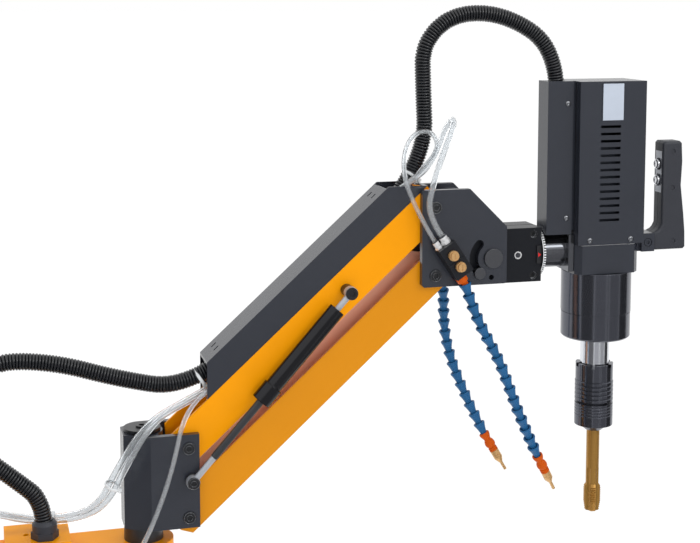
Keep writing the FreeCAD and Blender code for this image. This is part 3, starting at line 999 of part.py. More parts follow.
# Orange connectors at both ends of the hoses, and the brass nozzle tips
connector_r, connector_l = amount("connector_dia / 2"), amount("connector_long")
tip_r, tip_l = amount("tip_dia / 2"), amount("tip_long")
connector_profile = [(connector_r * r, connector_l * h) for r, h in CONNECTOR_SHARES]
tip_profile = [(tip_r * r, connector_l + tip_l * h) for r, h in TIP_SHARES]
stub_gap = amount("connector_stub_gap")


def stub_piece(steps, way, length):
    """The stub on a spray block and the neck from it to the first segment."""
    spot, first_way = steps[0]
    neck = Part.makeCylinder(narrow_r, 2 * stub_gap, spot, -first_way)
    return Part.makeCylinder(connector_r, length - stub_gap, spot - way * length, way).fuse(neck)


hose_connectors = keep_shape("hose_connectors", Part.makeCompound([
    lathe(connector_profile, *front_steps[-1]), lathe(connector_profile, *rear_steps[-1]),
    stub_piece(front_steps, heading(amount("spray_tilt"), 0), amount("connector_stub")),
    stub_piece(rear_steps, heading(0, 0), amount("rear_spray_low - hose_rear_z"))]))
nozzle_tips = keep_shape("nozzle_tips", Part.makeCompound([
    lathe(tip_profile, *front_steps[-1]), lathe(tip_profile, *rear_steps[-1])]))

# Cable gland with its domed nut
cable_gland = new_body("cable_gland", "gland_x", "gland_y", "arm_top + box_tall")
hexagon(cable_gland, "0", "0", "0", "gland_hex", "gland_hex_tall")
turned(cable_gland, [("0", "gland_hex_tall"), ("gland_nut_dia / 2", "gland_hex_tall"),
                     ("gland_nut_dia / 2", "gland_hex_tall + gland_nut_tall * 2 / 3"),
                     ("conduit_dia / 2 + cover_sheet", "gland_hex_tall + gland_nut_tall"),
                     ("0", "gland_hex_tall + gland_nut_tall")])
cylinder(cable_gland, "0", "0", "-gland_thread_tall", "gland_thread_dia - joint_gap", "gland_thread_tall")
cylinder(cable_gland, "0", "0", "gland_hex_tall / 2", "conduit_dia + 2 * run_gap", "gland_hex_tall + gland_nut_tall",
         cut=True)

# Routes of the conduits and tubes, corner by corner. Each end is set at the hole or fitting that it enters.
UPPER_CONDUIT = [(-44, 0, 98), (-2, 0, 158), (-6, 0, 246), (-8, -2, 303), (34, -4, 342), (104, -8, 341)]
UPPER_CONDUIT_END = [(-3, 1, 46), (0, 0, -8)]
LOWER_CONDUIT = [(50, -8, 194), (-2, -8, 160), (-82, -8, 178), (-164, -8, 206), (-240, -9, 212), (-279, -10, 171),
                 (-276, -12, 114), (-214, -15, 62)]
LOWER_CONDUIT_END = [(0, 0, 42), (0, 0, 0)]
FIRST_TUBE = [(50, -12, 166), (2, -15, 144), (-44, -38, 130), (-80, -48, 78), (-103, -36, 26), (-136, 8, -6),
              (-192, 14, -6), (-248, 12, 14)]
FIRST_TUBE_END = [(0, 0, 44), (0, 0, -8)]
SECOND_TUBE = [(50, -2, 166), (2, -4, 143), (-52, -31, 126), (-90, -40, 74), (-112, -26, 24), (-142, 18, -4),
               (-196, 23, -4), (-258, 21, 14)]
SECOND_TUBE_END = [(0, 0, 46), (0, 0, -8)]
THIN_TUBE = [(52, -18, 170), (22, -20, 158), (-8, -46, 132), (-20, -61, 90), (-34, -62, 44), (-56, -62, -10),
             (-80, -62, -48)]
THIN_TUBE_END = [(0, -24, 0), (0, 5, 0)]
UPPER_THIN = [(-35, -46, 98), (-46, -34, 146), (-33, -28, 184), (-5, -24, 192), (11, -22, 168), (-13, -18, 138),
              (-41, -15, 108)]
UPPER_THICK = [(-15, -50, 86), (-5, -44, 142), (19, -36, 184), (11, -28, 218), (-17, -20, 208), (-29, -16, 158),
               (-53, -12, 110)]


def from_spot(x, y, z, points):
    """Route points counted from a place on the machine."""
    base = amount(x), amount(y), amount(z)
    return [tuple(b + p for b, p in zip(base, point)) for point in points]


HEAD, PIVOT = ("head_x", "0", "head_z"), ("pivot_x", "0", "pivot_z")
upper_route = from_spot(*HEAD, UPPER_CONDUIT) + from_spot(conduit_x, conduit_y, "side_low + side_tall",
                                                          UPPER_CONDUIT_END)
lower_route = from_spot(*PIVOT, LOWER_CONDUIT) + from_spot(
    "gland_x", "gland_y", "arm_top + box_tall + gland_hex_tall / 2", LOWER_CONDUIT_END)
conduit_upper = keep_shape("conduit_upper", tube(upper_route, amount("conduit_dia"), amount("conduit_bore")))
conduit_lower = keep_shape("conduit_lower", tube(lower_route, amount("conduit_dia"), amount("conduit_bore")))

# Clear air tubes: two that run together and a thin one below, a thick and a thin one above
first_route = from_spot(*PIVOT, FIRST_TUBE) + from_spot("tube_hole_x", "tube_hole_y", "arm_top", FIRST_TUBE_END)
second_route = from_spot(*PIVOT, SECOND_TUBE) + from_spot("tube_hole_x - tube_hole_step", "tube_hole_y", "arm_top",
                                                          SECOND_TUBE_END)
thin_route = from_spot(*PIVOT, THIN_TUBE) + from_spot("thin_hole_x", "-arm_width / 2", "thin_hole_z", THIN_TUBE_END)
tubes_lower = keep_shape("tubes_lower", Part.makeCompound([
    tube(first_route, amount("tube_dia"), amount("tube_bore")),
    tube(second_route, amount("tube_dia"), amount("tube_bore")),
    tube(thin_route, amount("thin_dia"), amount("thin_bore"))]))


def fitting_mouth(across):
    x, z = spray_point(across, "-spray_long / 2 - fitting_tall - joint_gap / 2")
    return [(amount(x), amount("-cheek_outer - spray_deep / 2"), amount(z))]


tubes_upper = keep_shape("tubes_upper", Part.makeCompound([
    tube(fitting_mouth("fitting_a") + from_spot(*HEAD, UPPER_THIN), amount("thin_dia"), amount("thin_bore")),
    tube(fitting_mouth("fitting_b") + from_spot(*HEAD, UPPER_THICK), amount("tube_dia"), amount("tube_bore"))]))

# Cable ties round the conduits where they leave the cable cover, each a band with a small head
LOWER_TIE_SHARE, UPPER_TIE_SHARE = 0.6, 0.52


def tie(route, share):
    """A tie square to the first run of a route, at a share of that run."""
    first, second = FreeCAD.Vector(*route[0]), FreeCAD.Vector(*route[1])
    way = (second - first).normalize()
    middle = first + (second - first) * share
    wide, thick, head = amount("tie_wide"), amount("tie_thick"), amount("tie_head")
    inner = amount("conduit_dia / 2 + joint_gap")
    start = middle - way * (wide / 2)
    band = Part.makeCylinder(inner + thick, wide, start, way).cut(Part.makeCylinder(inner, wide, start, way))
    lump = Part.makeBox(head, head, head)
    lump.translate(FreeCAD.Vector(-head / 2, inner, -head / 2))
    lump.Placement = FreeCAD.Placement(middle, FreeCAD.Rotation(FreeCAD.Vector(0, 0, 1), way)) * lump.Placement
    return band.fuse(lump)


cable_ties = keep_shape("cable_ties", Part.makeCompound([
    tie(lower_route, LOWER_TIE_SHARE), tie(upper_route, UPPER_TIE_SHARE)]))

# Every piece is checked and written under its node name
problems = []
for feature in doc.Objects:
    if "Invalid" in feature.State or "Error" in feature.State:
        problems.append(f"{feature.Label} is {feature.State}")
doc.recompute()
os.makedirs("parts", exist_ok=True)
pieces = [feature for feature in doc.Objects if feature.TypeId in ("PartDesign::Body", "Part::Feature")]
for piece in pieces:
    shape = piece.Shape
    if shape.isNull() or not shape.isValid():
        problems.append(f"{piece.Label} has no valid shape")
        continue
    shape.exportStep(f"parts/{piece.Label}.step")
    print(piece.Label, round(shape.Volume), len(shape.Solids))
for feature in doc.Objects:
    if "Invalid" in feature.State or "Error" in feature.State:
        problems.append(f"{feature.Label} is {feature.State}")
print(len(pieces), "pieces")
if problems:
    raise RuntimeError("; ".join(problems))
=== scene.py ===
import bpy
import json
import math
from bpy.props import FloatProperty, FloatVectorProperty, PointerProperty
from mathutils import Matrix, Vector


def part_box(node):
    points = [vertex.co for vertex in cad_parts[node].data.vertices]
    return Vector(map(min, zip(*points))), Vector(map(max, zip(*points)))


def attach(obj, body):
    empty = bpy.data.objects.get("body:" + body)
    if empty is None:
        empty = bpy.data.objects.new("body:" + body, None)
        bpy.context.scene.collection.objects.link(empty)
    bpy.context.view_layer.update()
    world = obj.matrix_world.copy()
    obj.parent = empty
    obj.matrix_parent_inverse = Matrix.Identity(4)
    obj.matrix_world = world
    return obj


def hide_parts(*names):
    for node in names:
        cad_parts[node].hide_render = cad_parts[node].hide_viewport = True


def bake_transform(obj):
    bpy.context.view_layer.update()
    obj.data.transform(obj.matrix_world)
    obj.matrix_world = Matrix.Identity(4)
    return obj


bl_info = {
    "name": "Arm tapping machine",
    "version": (1, 0, 0),
    "blender": (4, 5, 0),
    "location": "View3D > Sidebar > Tapping machine",
    "description": "Dresses the frame of an arm tapping machine and sets its stage",
    "category": "Object",
}

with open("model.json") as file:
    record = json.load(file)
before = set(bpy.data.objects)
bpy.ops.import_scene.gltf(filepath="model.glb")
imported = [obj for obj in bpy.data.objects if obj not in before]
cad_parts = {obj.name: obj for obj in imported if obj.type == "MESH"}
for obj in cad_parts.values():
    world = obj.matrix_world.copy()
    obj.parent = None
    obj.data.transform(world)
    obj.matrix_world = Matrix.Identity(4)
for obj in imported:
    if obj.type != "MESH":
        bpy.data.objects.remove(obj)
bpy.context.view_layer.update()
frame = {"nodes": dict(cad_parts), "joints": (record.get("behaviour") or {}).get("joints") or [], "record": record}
NODES = frame["nodes"]
BODIES = {node: body for body, nodes in frame["record"]["behaviour"]["bodies"].items() for node in nodes}
JOINTS = {joint["name"]: joint for joint in frame["joints"]}
MM = 0.001
FRONT = Vector((0, -1, 0))
LEFT = Vector((-1, 0, 0))

# Places taken from the frame
ARM_PIVOT = Vector(JOINTS["lower_link"]["pos_m"])
LINK_RISE = Vector((0, 0, JOINTS["arm_raise"]["pos_m"][2] - ARM_PIVOT.z))
HEAD_PIVOT = Vector(JOINTS["head_level"]["pos_m"]) - LINK_RISE
TILT_PIN = Vector(JOINTS["head_tilt"]["pos_m"])


def middle(node):
    low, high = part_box(node)
    return (low + high) / 2


def beside(origin, points):
    return [origin + Vector(point) * MM for point in points]


# Routes of the conduits and tubes, in millimetres from a pivot
UPPER_CONDUIT = [(-44, 0, 98), (-2, 0, 158), (-6, 0, 246), (-8, -2, 303), (34, -4, 342), (104, -8, 341)]
LOWER_CONDUIT = [(50, -8, 194), (-2, -8, 160), (-82, -8, 178), (-164, -8, 206), (-240, -9, 212),
                 (-279, -10, 171), (-276, -12, 114), (-214, -15, 62)]
FIRST_TUBE = [(50, -12, 166), (2, -15, 144), (-44, -38, 130), (-80, -48, 78), (-103, -36, 26), (-136, 8, -6),
              (-192, 14, -6), (-248, 12, 14)]
SECOND_TUBE = [(50, -2, 166), (2, -4, 143), (-52, -31, 126), (-90, -40, 74), (-112, -26, 24), (-142, 18, -4),
               (-196, 23, -4), (-258, 21, 14)]
THIN_TUBE = [(52, -18, 170), (22, -20, 158), (-8, -46, 132), (-20, -61, 90), (-34, -62, 44), (-56, -62, -10),
             (-80, -62, -48)]
UPPER_THIN = [(-35, -46, 98), (-46, -34, 146), (-33, -28, 184), (-5, -24, 192), (11, -22, 168), (-13, -18, 138),
              (-41, -15, 108)]
UPPER_THICK = [(-17, -51, 84), (-9, -55, 126), (2, -57, 162), (17, -54, 194), (25, -33, 208), (20, -11, 188),
               (9, -18, 162), (-9, -27, 140), (-38, -22, 118), (-53, -14, 106)]
# Every hose segment's angle from straight down toward +X, and its swing toward +Y, both in degrees
FRONT_TURNS = (20, 20, 22, 25, 28, 29, 28, 25, 22, 21, 21, 22, 24, 25, 26, 27, 27)
FRONT_SWINGS = (0, 0, 0, 0, 0, 0, 0, 0, 0, 0, 0, 2, 4, 6, 8, 9, 8)
REAR_TURNS = (12, 12, 12, 9, 6, 6, 8, 11, 14, 16, 19, 21, 21, 22, 24, 25, 24)
REAR_SWINGS = (18, 18, 17, 16, 14, 11, 8, 4, 0, -3, -6, -8, -10, -11, -12, -12, -12)
FRONT_END, REAR_END = (29, 8), (29, -12)
# The tilted spray block in degrees and millimetres: its tilt, its middle from the head pivot, half its length,
# how far the tube fittings stand up, and each fitting's place across the block with its nut's size and height
SPRAY_TILT = 33.7
SPRAY_MIDDLE = Vector((21, -49, 22.6))
SPRAY_HALF = 23.5
FITTING_TALL = 12.3
FITTINGS = ((-8, 5.2, 4), (4, 6.5, 6))
# Where the upper conduit enters the side box, from the box's left and front, and the heights of the lower one's
# last two corners over the top of the gland, in millimetres
CONDUIT_HOLE = (18.25, 16.5)
GLAND_STEPS = (23.5, -18)
# The clamp screws above and below the tilt pin, the bored hole to their left, and the reach of the bare metal
CLAMP_RISES = (28, -28)
HOLE_BACK = 22
HOLE_REACH = 6.2 * MM
# Holes of the lower air tubes in the rear arm, in metres: X, Y and the tube's rise over each one in the roof,
# and X and Z of the one in the side
ROOF_HOLES = ((0.160, 0.010, 0.044), (0.146, 0.010, 0.046))
SIDE_HOLE = (0.330, 0.284)
TUBE_WALL = 1.2
# The inside of the lower channel, from its middle plane
CHANNEL_INSIDE = 0.0245
DIAL_MARKS = 60
# The label plate's middle in X and Z, in metres, and its size in millimetres
LABEL_SPOT = (1.0285, 0.878)
LABEL_SIZE = (30, 0.3, 49)


class Link:
    """A socket of a shader tree, so that maths on it is written as an expression."""

    def __init__(self, tree, socket):
        self.tree = tree
        self.socket = socket

    def maths(self, operation, *values):
        return self.tree.node("Math", {"operation": operation}, *values)

    def __add__(self, other):
        return self.maths("ADD", self, other)

    def __sub__(self, other):
        return self.maths("SUBTRACT", self, other)

    def __mul__(self, other):
        return self.maths("MULTIPLY", self, other)

    def __lt__(self, other):
        return self.maths("LESS_THAN", self, other)

    def __gt__(self, other):
        return self.maths("GREATER_THAN", self, other)

    def __abs__(self):
        return self.maths("ABSOLUTE", self)

    __radd__ = __add__
    __rmul__ = __mul__


class Finish:
    """A procedural material under one Principled shader."""

    def __init__(self, name, color, **fixed):
        self.name = name
        self.material = bpy.data.materials.new(name)
        self.material.use_nodes = True
        self.material.diffuse_color = (*color, 1)
        self.nodes = self.material.node_tree.nodes
        self.links = self.material.node_tree.links
        self.shader = self.nodes["Principled BSDF"]
        self.shader.inputs["Base Color"].default_value = (*color, 1)
        for key, value in fixed.items():
            self.shader.inputs[key.replace("_", " ")].default_value = value
        self.place = self.node("TexCoord", {}, out="Object")

    def node(self, kind, settings, *values, out=0, **named):
        made = self.nodes.new("ShaderNode" + kind)
        for key, value in settings.items():
            setattr(made, key, value)
        for key, value in [*enumerate(values), *named.items()]:
            socket = made.inputs[key.replace("_", " ") if isinstance(key, str) else key]
            if isinstance(value, Link):
                self.links.new(value.socket, socket)
            else:
                socket.default_value = value
        return Link(self, made.outputs[out])

    def noise(self, scale, detail=3.0, roughness=0.6, place=None):
        return self.node("TexNoise", {}, Vector=place or self.place, Scale=scale, Detail=detail,
                         Roughness=roughness)

    def stretched(self, x, y, z):
        return self.node("Mapping", {}, Vector=self.place, Scale=(x, y, z))

    def axes(self):
        split = self.node("SeparateXYZ", {}, self.place)
        outs = split.socket.node.outputs
        return [Link(self, outs[i]) for i in range(3)]

    def mix(self, share, first, second):
        """Goes from the first colour to the second as the share goes from 0 to 1.

        A mix node has its colours at inputs 6 and 7, and their mix at output 2."""
        made = self.nodes.new("ShaderNodeMix")
        made.data_type = "RGBA"
        self.links.new(share.socket, made.inputs["Factor"])
        for socket, value in ((made.inputs[6], first), (made.inputs[7], second)):
            if isinstance(value, Link):
                self.links.new(value.socket, socket)
            else:
                socket.default_value = (*value, 1)
        return Link(self, made.outputs[2])

    def shades(self, share, color, low=0.9, high=1.1):
        """Goes from a darker to a lighter shade of a colour."""
        return self.mix(share, shade(color, low), shade(color, high))

    def feed(self, **sockets):
        for key, value in sockets.items():
            self.links.new(value.socket, self.shader.inputs[key.replace("_", " ")])
        return self

    def bump(self, height, strength, depth):
        normal = self.node("Bump", {}, Height=height, Strength=strength, Distance=depth)
        return self.feed(Normal=normal)


def shade(color, times):
    return tuple(min(1.0, part * times) for part in color)


def paint(name, color, grain, depth, low, high, gloss=0.5):
    """Powder coat: fine orange peel, and slight clouding of colour and of roughness, from low to high."""
    finish = Finish(name, color, Specular_IOR_Level=gloss)
    cloud = finish.noise(9.0, 4.0)
    grit = finish.noise(grain, 2.0, 0.5)
    finish.feed(Base_Color=finish.shades(cloud, color),
                Roughness=low + (high - low) * (cloud * 0.5 + grit * 0.5))
    return finish.bump(grit, 0.25, depth)


def machined(name, color, low, high, lines, metallic=1.0):
    """Turned or drawn metal with fine lines round or along it."""
    finish = Finish(name, color, Metallic=metallic)
    line = finish.noise(1.0, 4.0, 0.7, finish.stretched(*lines))
    cloud = finish.noise(30.0, 3.0)
    finish.feed(Base_Color=finish.shades(line, color, 0.86, 1.12),
                Roughness=low + (high - low) * (line * 0.6 + cloud * 0.4))
    return finish.bump(line, 0.12, 0.0002)


def plastic(name, color, low, high, grain=2400.0, gloss=0.5):
    """Moulded plastic with a fine spark-eroded grain."""
    finish = Finish(name, color, Specular_IOR_Level=gloss)
    cloud = finish.noise(25.0, 3.0)
    finish.feed(Base_Color=finish.shades(cloud, color), Roughness=low + (high - low) * cloud)
    return finish.bump(finish.noise(grain, 2.0, 0.5), 0.15, 0.00012)


def gloss_black(name, color):
    """Polished black oxide with faint turning lines."""
    finish = Finish(name, color, Metallic=0.9)
    line = finish.noise(1.0, 3.0, 0.7, finish.stretched(18, 18, 900))
    finish.feed(Base_Color=finish.shades(line, color, 0.85, 1.15), Roughness=0.13 + 0.08 * line)
    return finish.bump(line, 0.04, 0.0001)


def clear(name, color, alpha):
    """Milky nylon that lets a little through."""
    finish = Finish(name, color, Alpha=alpha, Roughness=0.3)
    return finish.feed(Base_Color=finish.shades(finish.noise(60.0, 2.0), color, 0.92, 1.06))


def tubing(name, color):
    """Clear tubing, slightly clouded."""
    finish = Finish(name, color, Transmission_Weight=0.88, IOR=1.14)
    cloud = finish.noise(45.0, 3.0)
    return finish.feed(Base_Color=finish.shades(cloud, color, 0.95, 1.03), Roughness=0.06 + 0.1 * cloud)


def channel_paint_with_painted_shade(name, color, inside):
    """Orange outside, in a colour that the caller darkens as painted shade, and the pink primer shade that the
    inside of the channel shows.
    """
    finish = paint(name, color, 900.0, 0.0002, 0.26, 0.38, 0.22)
    inner = abs(finish.axes()[1]) < CHANNEL_INSIDE
    outside = finish.shades(finish.noise(9.0, 4.0), color, 0.93, 1.07)
    return finish.feed(Base_Color=finish.mix(inner, outside, inside))


def pointer_finish(name, color, red):
    """Black plate, with the pointer that stands out of it in red."""
    finish = Finish(name, color)
    mark = finish.axes()[1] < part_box("pointer_plate")[0].y + 0.5 * MM
    return finish.feed(Base_Color=finish.mix(mark, color, red),
                       Roughness=0.35 + 0.2 * finish.noise(1200.0, 2.0))


def bare_and_painted_highlight(finish, share, color, bare, metallic):
    """Bare metal colour where the share is 1, and clouded paint elsewhere: bored metal in the index block's holes,
    and a painted highlight along the motor block's edge.
    """
    return finish.feed(Base_Color=finish.mix(share, finish.shades(finish.noise(9.0, 4.0), color), bare),
                       Metallic=share * metallic)


def block_paint(name, color, bare):
    """Black paint on the motor block, with a painted highlight in bare metal colour along the upper front edge."""
    finish = paint(name, color, 1500.0, 0.00025, 0.20, 0.30, 0.6)
    _, y, z = finish.axes()
    low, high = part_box("motor_block")
    # The strip along the upper front edge takes a lighter metal colour: a painted highlight where the edge catches
    # the light.
    return bare_and_painted_highlight(finish, (z > high.z - 0.7 * MM) * (y < low.y + 2.0 * MM), color, bare, 0.5)


def index_paint(name, color, bare):
    """Black paint on the index block, with its screw holes bored bare."""
    finish = paint(name, color, 1500.0, 0.00025, 0.3, 0.42, 0.25)
    x, y, z = finish.axes()
    hole_x = middle("clamp_screws").x
    spots = [(hole_x, TILT_PIN.z + rise * MM) for rise in CLAMP_RISES]
    holes = 0.0
    for spot_x, spot_z in [*spots, (hole_x - HOLE_BACK * MM, TILT_PIN.z)]:
        across, up = x - spot_x, z - spot_z
        holes = (across * across + up * up < HOLE_REACH ** 2) + holes
    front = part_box("index_block")[0].y + 0.35 * MM
    return bare_and_painted_highlight(finish, holes * (y > front), color, bare, 0.9)


def make_finishes(look):
    orange, black, blue = tuple(look.orange), tuple(look.black), tuple(look.blue)
    made = (
        paint("orange_paint", orange, 900.0, 0.0002, 0.34, 0.46, 0.1),
        # The lower channel's orange is darkened to 0.76 of the arms' orange: painted shade for the lower arm,
        # which gets less light.
        channel_paint_with_painted_shade("channel_paint_with_painted_shade", shade(orange, 0.76), (0.80, 0.46, 0.34)),
        paint("black_paint", black, 1500.0, 0.00025, 0.20, 0.30, 0.6),
        paint("dark_paint", shade(black, 0.34), 1500.0, 0.00025, 0.24, 0.34, 0.35),
        block_paint("block_paint", black, (0.55, 0.56, 0.58)),
        index_paint("index_paint", shade(black, 0.32), (0.5, 0.51, 0.53)),
        machined("black_oxide", (0.012, 0.013, 0.015), 0.30, 0.42, (300, 300, 300), 0.1),
        machined("pin_black", (0.115, 0.118, 0.128), 0.24, 0.36, (300, 300, 300), 0.85),
        machined("screw_steel", (0.30, 0.31, 0.33), 0.16, 0.24, (60, 60, 60)),
        machined("dark_steel", (0.055, 0.057, 0.062), 0.28, 0.42, (300, 300, 300), 0.6),
        machined("bright_steel", (0.74, 0.76, 0.80), 0.14, 0.22, (6, 6, 700)),
        gloss_black("gloss_black", (0.105, 0.110, 0.130)),
        machined("shaft_black", (0.15, 0.155, 0.17), 0.10, 0.16, (900, 18, 18), 0.95),
        machined("gas_black", (0.035, 0.035, 0.038), 0.09, 0.13, (20, 20, 20), 0.92),
        machined("grey_steel", (0.50, 0.52, 0.56), 0.34, 0.5, (200, 200, 200), 0.55),
        plastic("black_plastic", (0.026, 0.028, 0.036), 0.38, 0.52),
        plastic("conduit_plastic", (0.004, 0.005, 0.007), 0.20, 0.28, 4000.0, 0.75),
        machined("chrome", (0.72, 0.73, 0.76), 0.10, 0.20, (60, 60, 60)),
        machined("nickel", (0.86, 0.86, 0.86), 0.14, 0.26, (90, 90, 90), 0.5),
        machined("brass", (0.66, 0.40, 0.17), 0.26, 0.38, (400, 400, 400), 0.55),
        machined("bronze", (0.40, 0.21, 0.045), 0.28, 0.42, (60, 60, 900), 0.6),
        machined("bearing_bronze", (0.5, 0.34, 0.16), 0.3, 0.45, (40, 40, 900)),
        plastic("blue_plastic", blue, 0.26, 0.36, 1800.0, 0.25),
        # The hose cuffs' orange is their own colour, made darker in part as painted shade for the connector that
        # sits in shadow under the spray block.
        plastic("orange_plastic", (0.52, 0.080, 0.003), 0.34, 0.46, 1800.0, 0.12),
        tubing("clear_tube", (0.84, 0.86, 0.875)),
        clear("white_nylon", (0.78, 0.80, 0.81), 0.8),
        plastic("label", (0.44, 0.485, 0.56), 0.5, 0.6, 900.0, 0.3),
        pointer_finish("pointer", (0.012, 0.012, 0.014), (0.6, 0.012, 0.012)),
        plastic("marks_and_rim_highlight", (0.86, 0.87, 0.88), 0.4, 0.5),
    )
    return {finish.name: finish for finish in made}


FINISHES = {}


def dress(obj, name):
    obj.data.materials.clear()
    obj.data.materials.append(FINISHES[name].material)


def settle(obj):
    """Puts the object's place into its mesh, so that the object sits at the origin."""
    only(obj)
    bpy.ops.object.transform_apply(location=True, rotation=True, scale=True)


def only(*objs):
    bpy.ops.object.select_all(action="DESELECT")
    for obj in objs:
        obj.select_set(True)
    bpy.context.view_layer.objects.active = objs[0]


def smooth(obj, degrees=35):
    only(obj)
    bpy.ops.object.shade_smooth_by_angle(angle=math.radians(degrees))


def outlined(name, radius_heights, sides=32):
    """A turned form, made from a disc that is extruded and resized step by step up its own Z axis."""
    radius, height = radius_heights[0]
    bpy.ops.object.select_all(action="DESELECT")
    bpy.ops.mesh.primitive_circle_add(vertices=sides, radius=radius * MM, fill_type="NGON",
                                      location=(0, 0, height * MM))
    obj = bpy.context.object
    obj.name = name
    settle(obj)
    bpy.ops.object.mode_set(mode="EDIT")
    bpy.ops.mesh.select_mode(type="FACE")
    bpy.ops.mesh.select_all(action="SELECT")
    for new_radius, new_height in radius_heights[1:]:
        bpy.ops.mesh.extrude_region_move(TRANSFORM_OT_translate={"value": (0, 0, (new_height - height) * MM)})
        scale = new_radius / radius
        bpy.ops.transform.resize(value=(scale, scale, 1), center_override=(0, 0, new_height * MM))
        radius, height = new_radius, new_height
    bpy.ops.mesh.select_all(action="SELECT")
    bpy.ops.mesh.normals_make_consistent(inside=False)
    bpy.ops.object.mode_set(mode="OBJECT")
    smooth(obj)
    return obj


def solids(node):
    """The lowest and highest corners of each screw or pin in a node, as seen from the front."""
    cells = {}
    for vertex in NODES[node].data.vertices:
        cells.setdefault((round(vertex.co.x / (5 * MM)), round(vertex.co.z / (5 * MM))), []).append(vertex.co)
    boxes = []
    while cells:
        todo, points = [next(iter(cells))], []
        while todo:
            x, z = todo.pop()
            points += cells.pop((x, z), [])
            todo += [(x + i, z + j) for i in (-1, 0, 1) for j in (-1, 0, 1) if (x + i, z + j) in cells]
        boxes.append((Vector([min(p[i] for p in points) for i in range(3)]),
                      Vector([max(p[i] for p in points) for i in range(3)])))
    return [(low, high) for low, high in boxes
            if not any(other.x < low.x and other.z < low.z and top.x > high.x and top.z > high.z
                       for other, top in boxes)]


def placed(obj, spot, way):
    """Turns the object's Z axis along the way and moves it to the spot."""
    obj.rotation_mode = "QUATERNION"
    obj.rotation_quaternion = Vector(way).to_track_quat("Z", "Y")
    obj.location = spot
    settle(obj)
    return obj


def copy_of(obj, name):
    made = obj.copy()
    made.data = obj.data.copy()
    made.name = name
    bpy.context.collection.objects.link(made)
    return made


def joined(name, parts):
    only(*parts)
    if len(parts) > 1:
        bpy.ops.object.join()
    obj = bpy.context.object
    obj.name = name
    return obj


def rides(obj, body, slot_name, finish_name=None):
    dress(obj, finish_name or slot_name)
    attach(obj, body)
    return obj


def group(name, parts, body, slot_name, finish_name=None, node=None, degrees=30):
    """Joins the parts into one piece that rides on a body, in place of a node if one is named."""
    obj = rides(joined(name, parts), body, slot_name, finish_name)
    smooth(obj, degrees)
    if node:
        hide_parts(node)


def cube(spot, size, turn=(0, 0, 0)):
    """A box with its middle at the spot and its size in millimetres."""
    bpy.ops.object.select_all(action="DESELECT")
    bpy.ops.mesh.primitive_cube_add(size=1, location=spot, rotation=turn, scale=Vector(size) * MM)
    obj = bpy.context.object
    settle(obj)
    return obj


def eased(obj, width):
    """Rounds all the edges of a box."""
    only(obj)
    bpy.ops.object.mode_set(mode="EDIT")
    bpy.ops.mesh.select_all(action="SELECT")
    bpy.ops.mesh.bevel(offset=width, segments=2, affect="EDGES")
    bpy.ops.object.mode_set(mode="OBJECT")
    return obj


def spline_points(corners, steps=10):
    """Points of the smooth line that has the corners as its control points."""
    curve = bpy.data.curves.new("line", "CURVE")
    curve.dimensions = "3D"
    line = curve.splines.new("NURBS")
    line.points.add(len(corners) - 1)
    for point, corner in zip(line.points, corners):
        point.co = (*corner, 1)
    line.order_u = 3
    line.use_endpoint_u = True
    line.resolution_u = steps
    holder = bpy.data.objects.new("line", curve)
    mesh = bpy.data.meshes.new_from_object(holder)
    points = [vertex.co.copy() for vertex in mesh.vertices]
    bpy.data.objects.remove(holder)
    bpy.data.meshes.remove(mesh)
    bpy.data.curves.remove(curve)
    return points


def line_length(points):
    return sum((b - a).length for a, b in zip(points, points[1:]))


def along(points, distance):
    """The point at a distance along a line, and the line's direction there."""
    for a, b in zip(points, points[1:]):
        step = (b - a).length
        if distance <= step:
            return a + (b - a) * (distance / step), (b - a).normalized()
        distance -= step
    return points[-1].copy(), (points[-1] - points[-2]).normalized()


def tube_mesh(name, points, stations, sides, bore=None):
    """A tube that follows the points.

    The stations are pairs of distance along it and radius, and the bore is a radius."""
    frames = []
    up = None
    for distance, radius in stations:
        spot, way = along(points, distance)
        up = ((up - way * up.dot(way)) if up else way.orthogonal()).normalized()
        frames.append((spot, up, way.cross(up), radius))
    if bore:
        frames += [(spot, up, out, bore) for spot, up, out, radius in reversed(frames)]
    rings = [[spot + (up * math.cos(math.tau * i / sides) + out * math.sin(math.tau * i / sides)) * radius
              for i in range(sides)] for spot, up, out, radius in frames]
    faces = []
    for r in range(len(rings) if bore else len(rings) - 1):
        after = (r + 1) % len(rings)
        for i in range(sides):
            j = (i + 1) % sides
            faces.append((r * sides + i, r * sides + j, after * sides + j, after * sides + i))
    if not bore:
        faces.append(tuple(range(sides))[::-1])
        faces.append(tuple((len(rings) - 1) * sides + i for i in range(sides)))
    mesh = bpy.data.meshes.new(name)
    mesh.from_pydata([point for ring in rings for point in ring], [], faces)
    obj = bpy.data.objects.new(name, mesh)
    bpy.context.collection.objects.link(obj)
    only(obj)
    bpy.ops.object.mode_set(mode="EDIT")
    bpy.ops.mesh.select_all(action="SELECT")
    bpy.ops.mesh.normals_make_consistent(inside=False)
    bpy.ops.object.mode_set(mode="OBJECT")
    smooth(obj, 60)
    return obj


def ribbed_stations(length, look):
    """Ribs of a corrugated conduit, as pairs of distance and radius."""
    outer = look.conduit / 2
    inner = outer - look.rib_depth
    count = max(2, round(length / look.rib_pitch))
    pitch = length / count
    stations = []
    for i in range(count):
        for share in (0.0, 0.08, 0.18, 0.32, 0.5, 0.68, 0.82, 0.92):
            stations.append(((i + share) * pitch, inner + look.rib_depth * math.sin(math.pi * share) ** 0.6))
    stations[0] = (0, inner)
    stations.append((length, inner))
    return stations


def plain_stations(length, radius, step):
    count = max(2, round(length / step))
    return [(length * i / count, radius) for i in range(count + 1)]


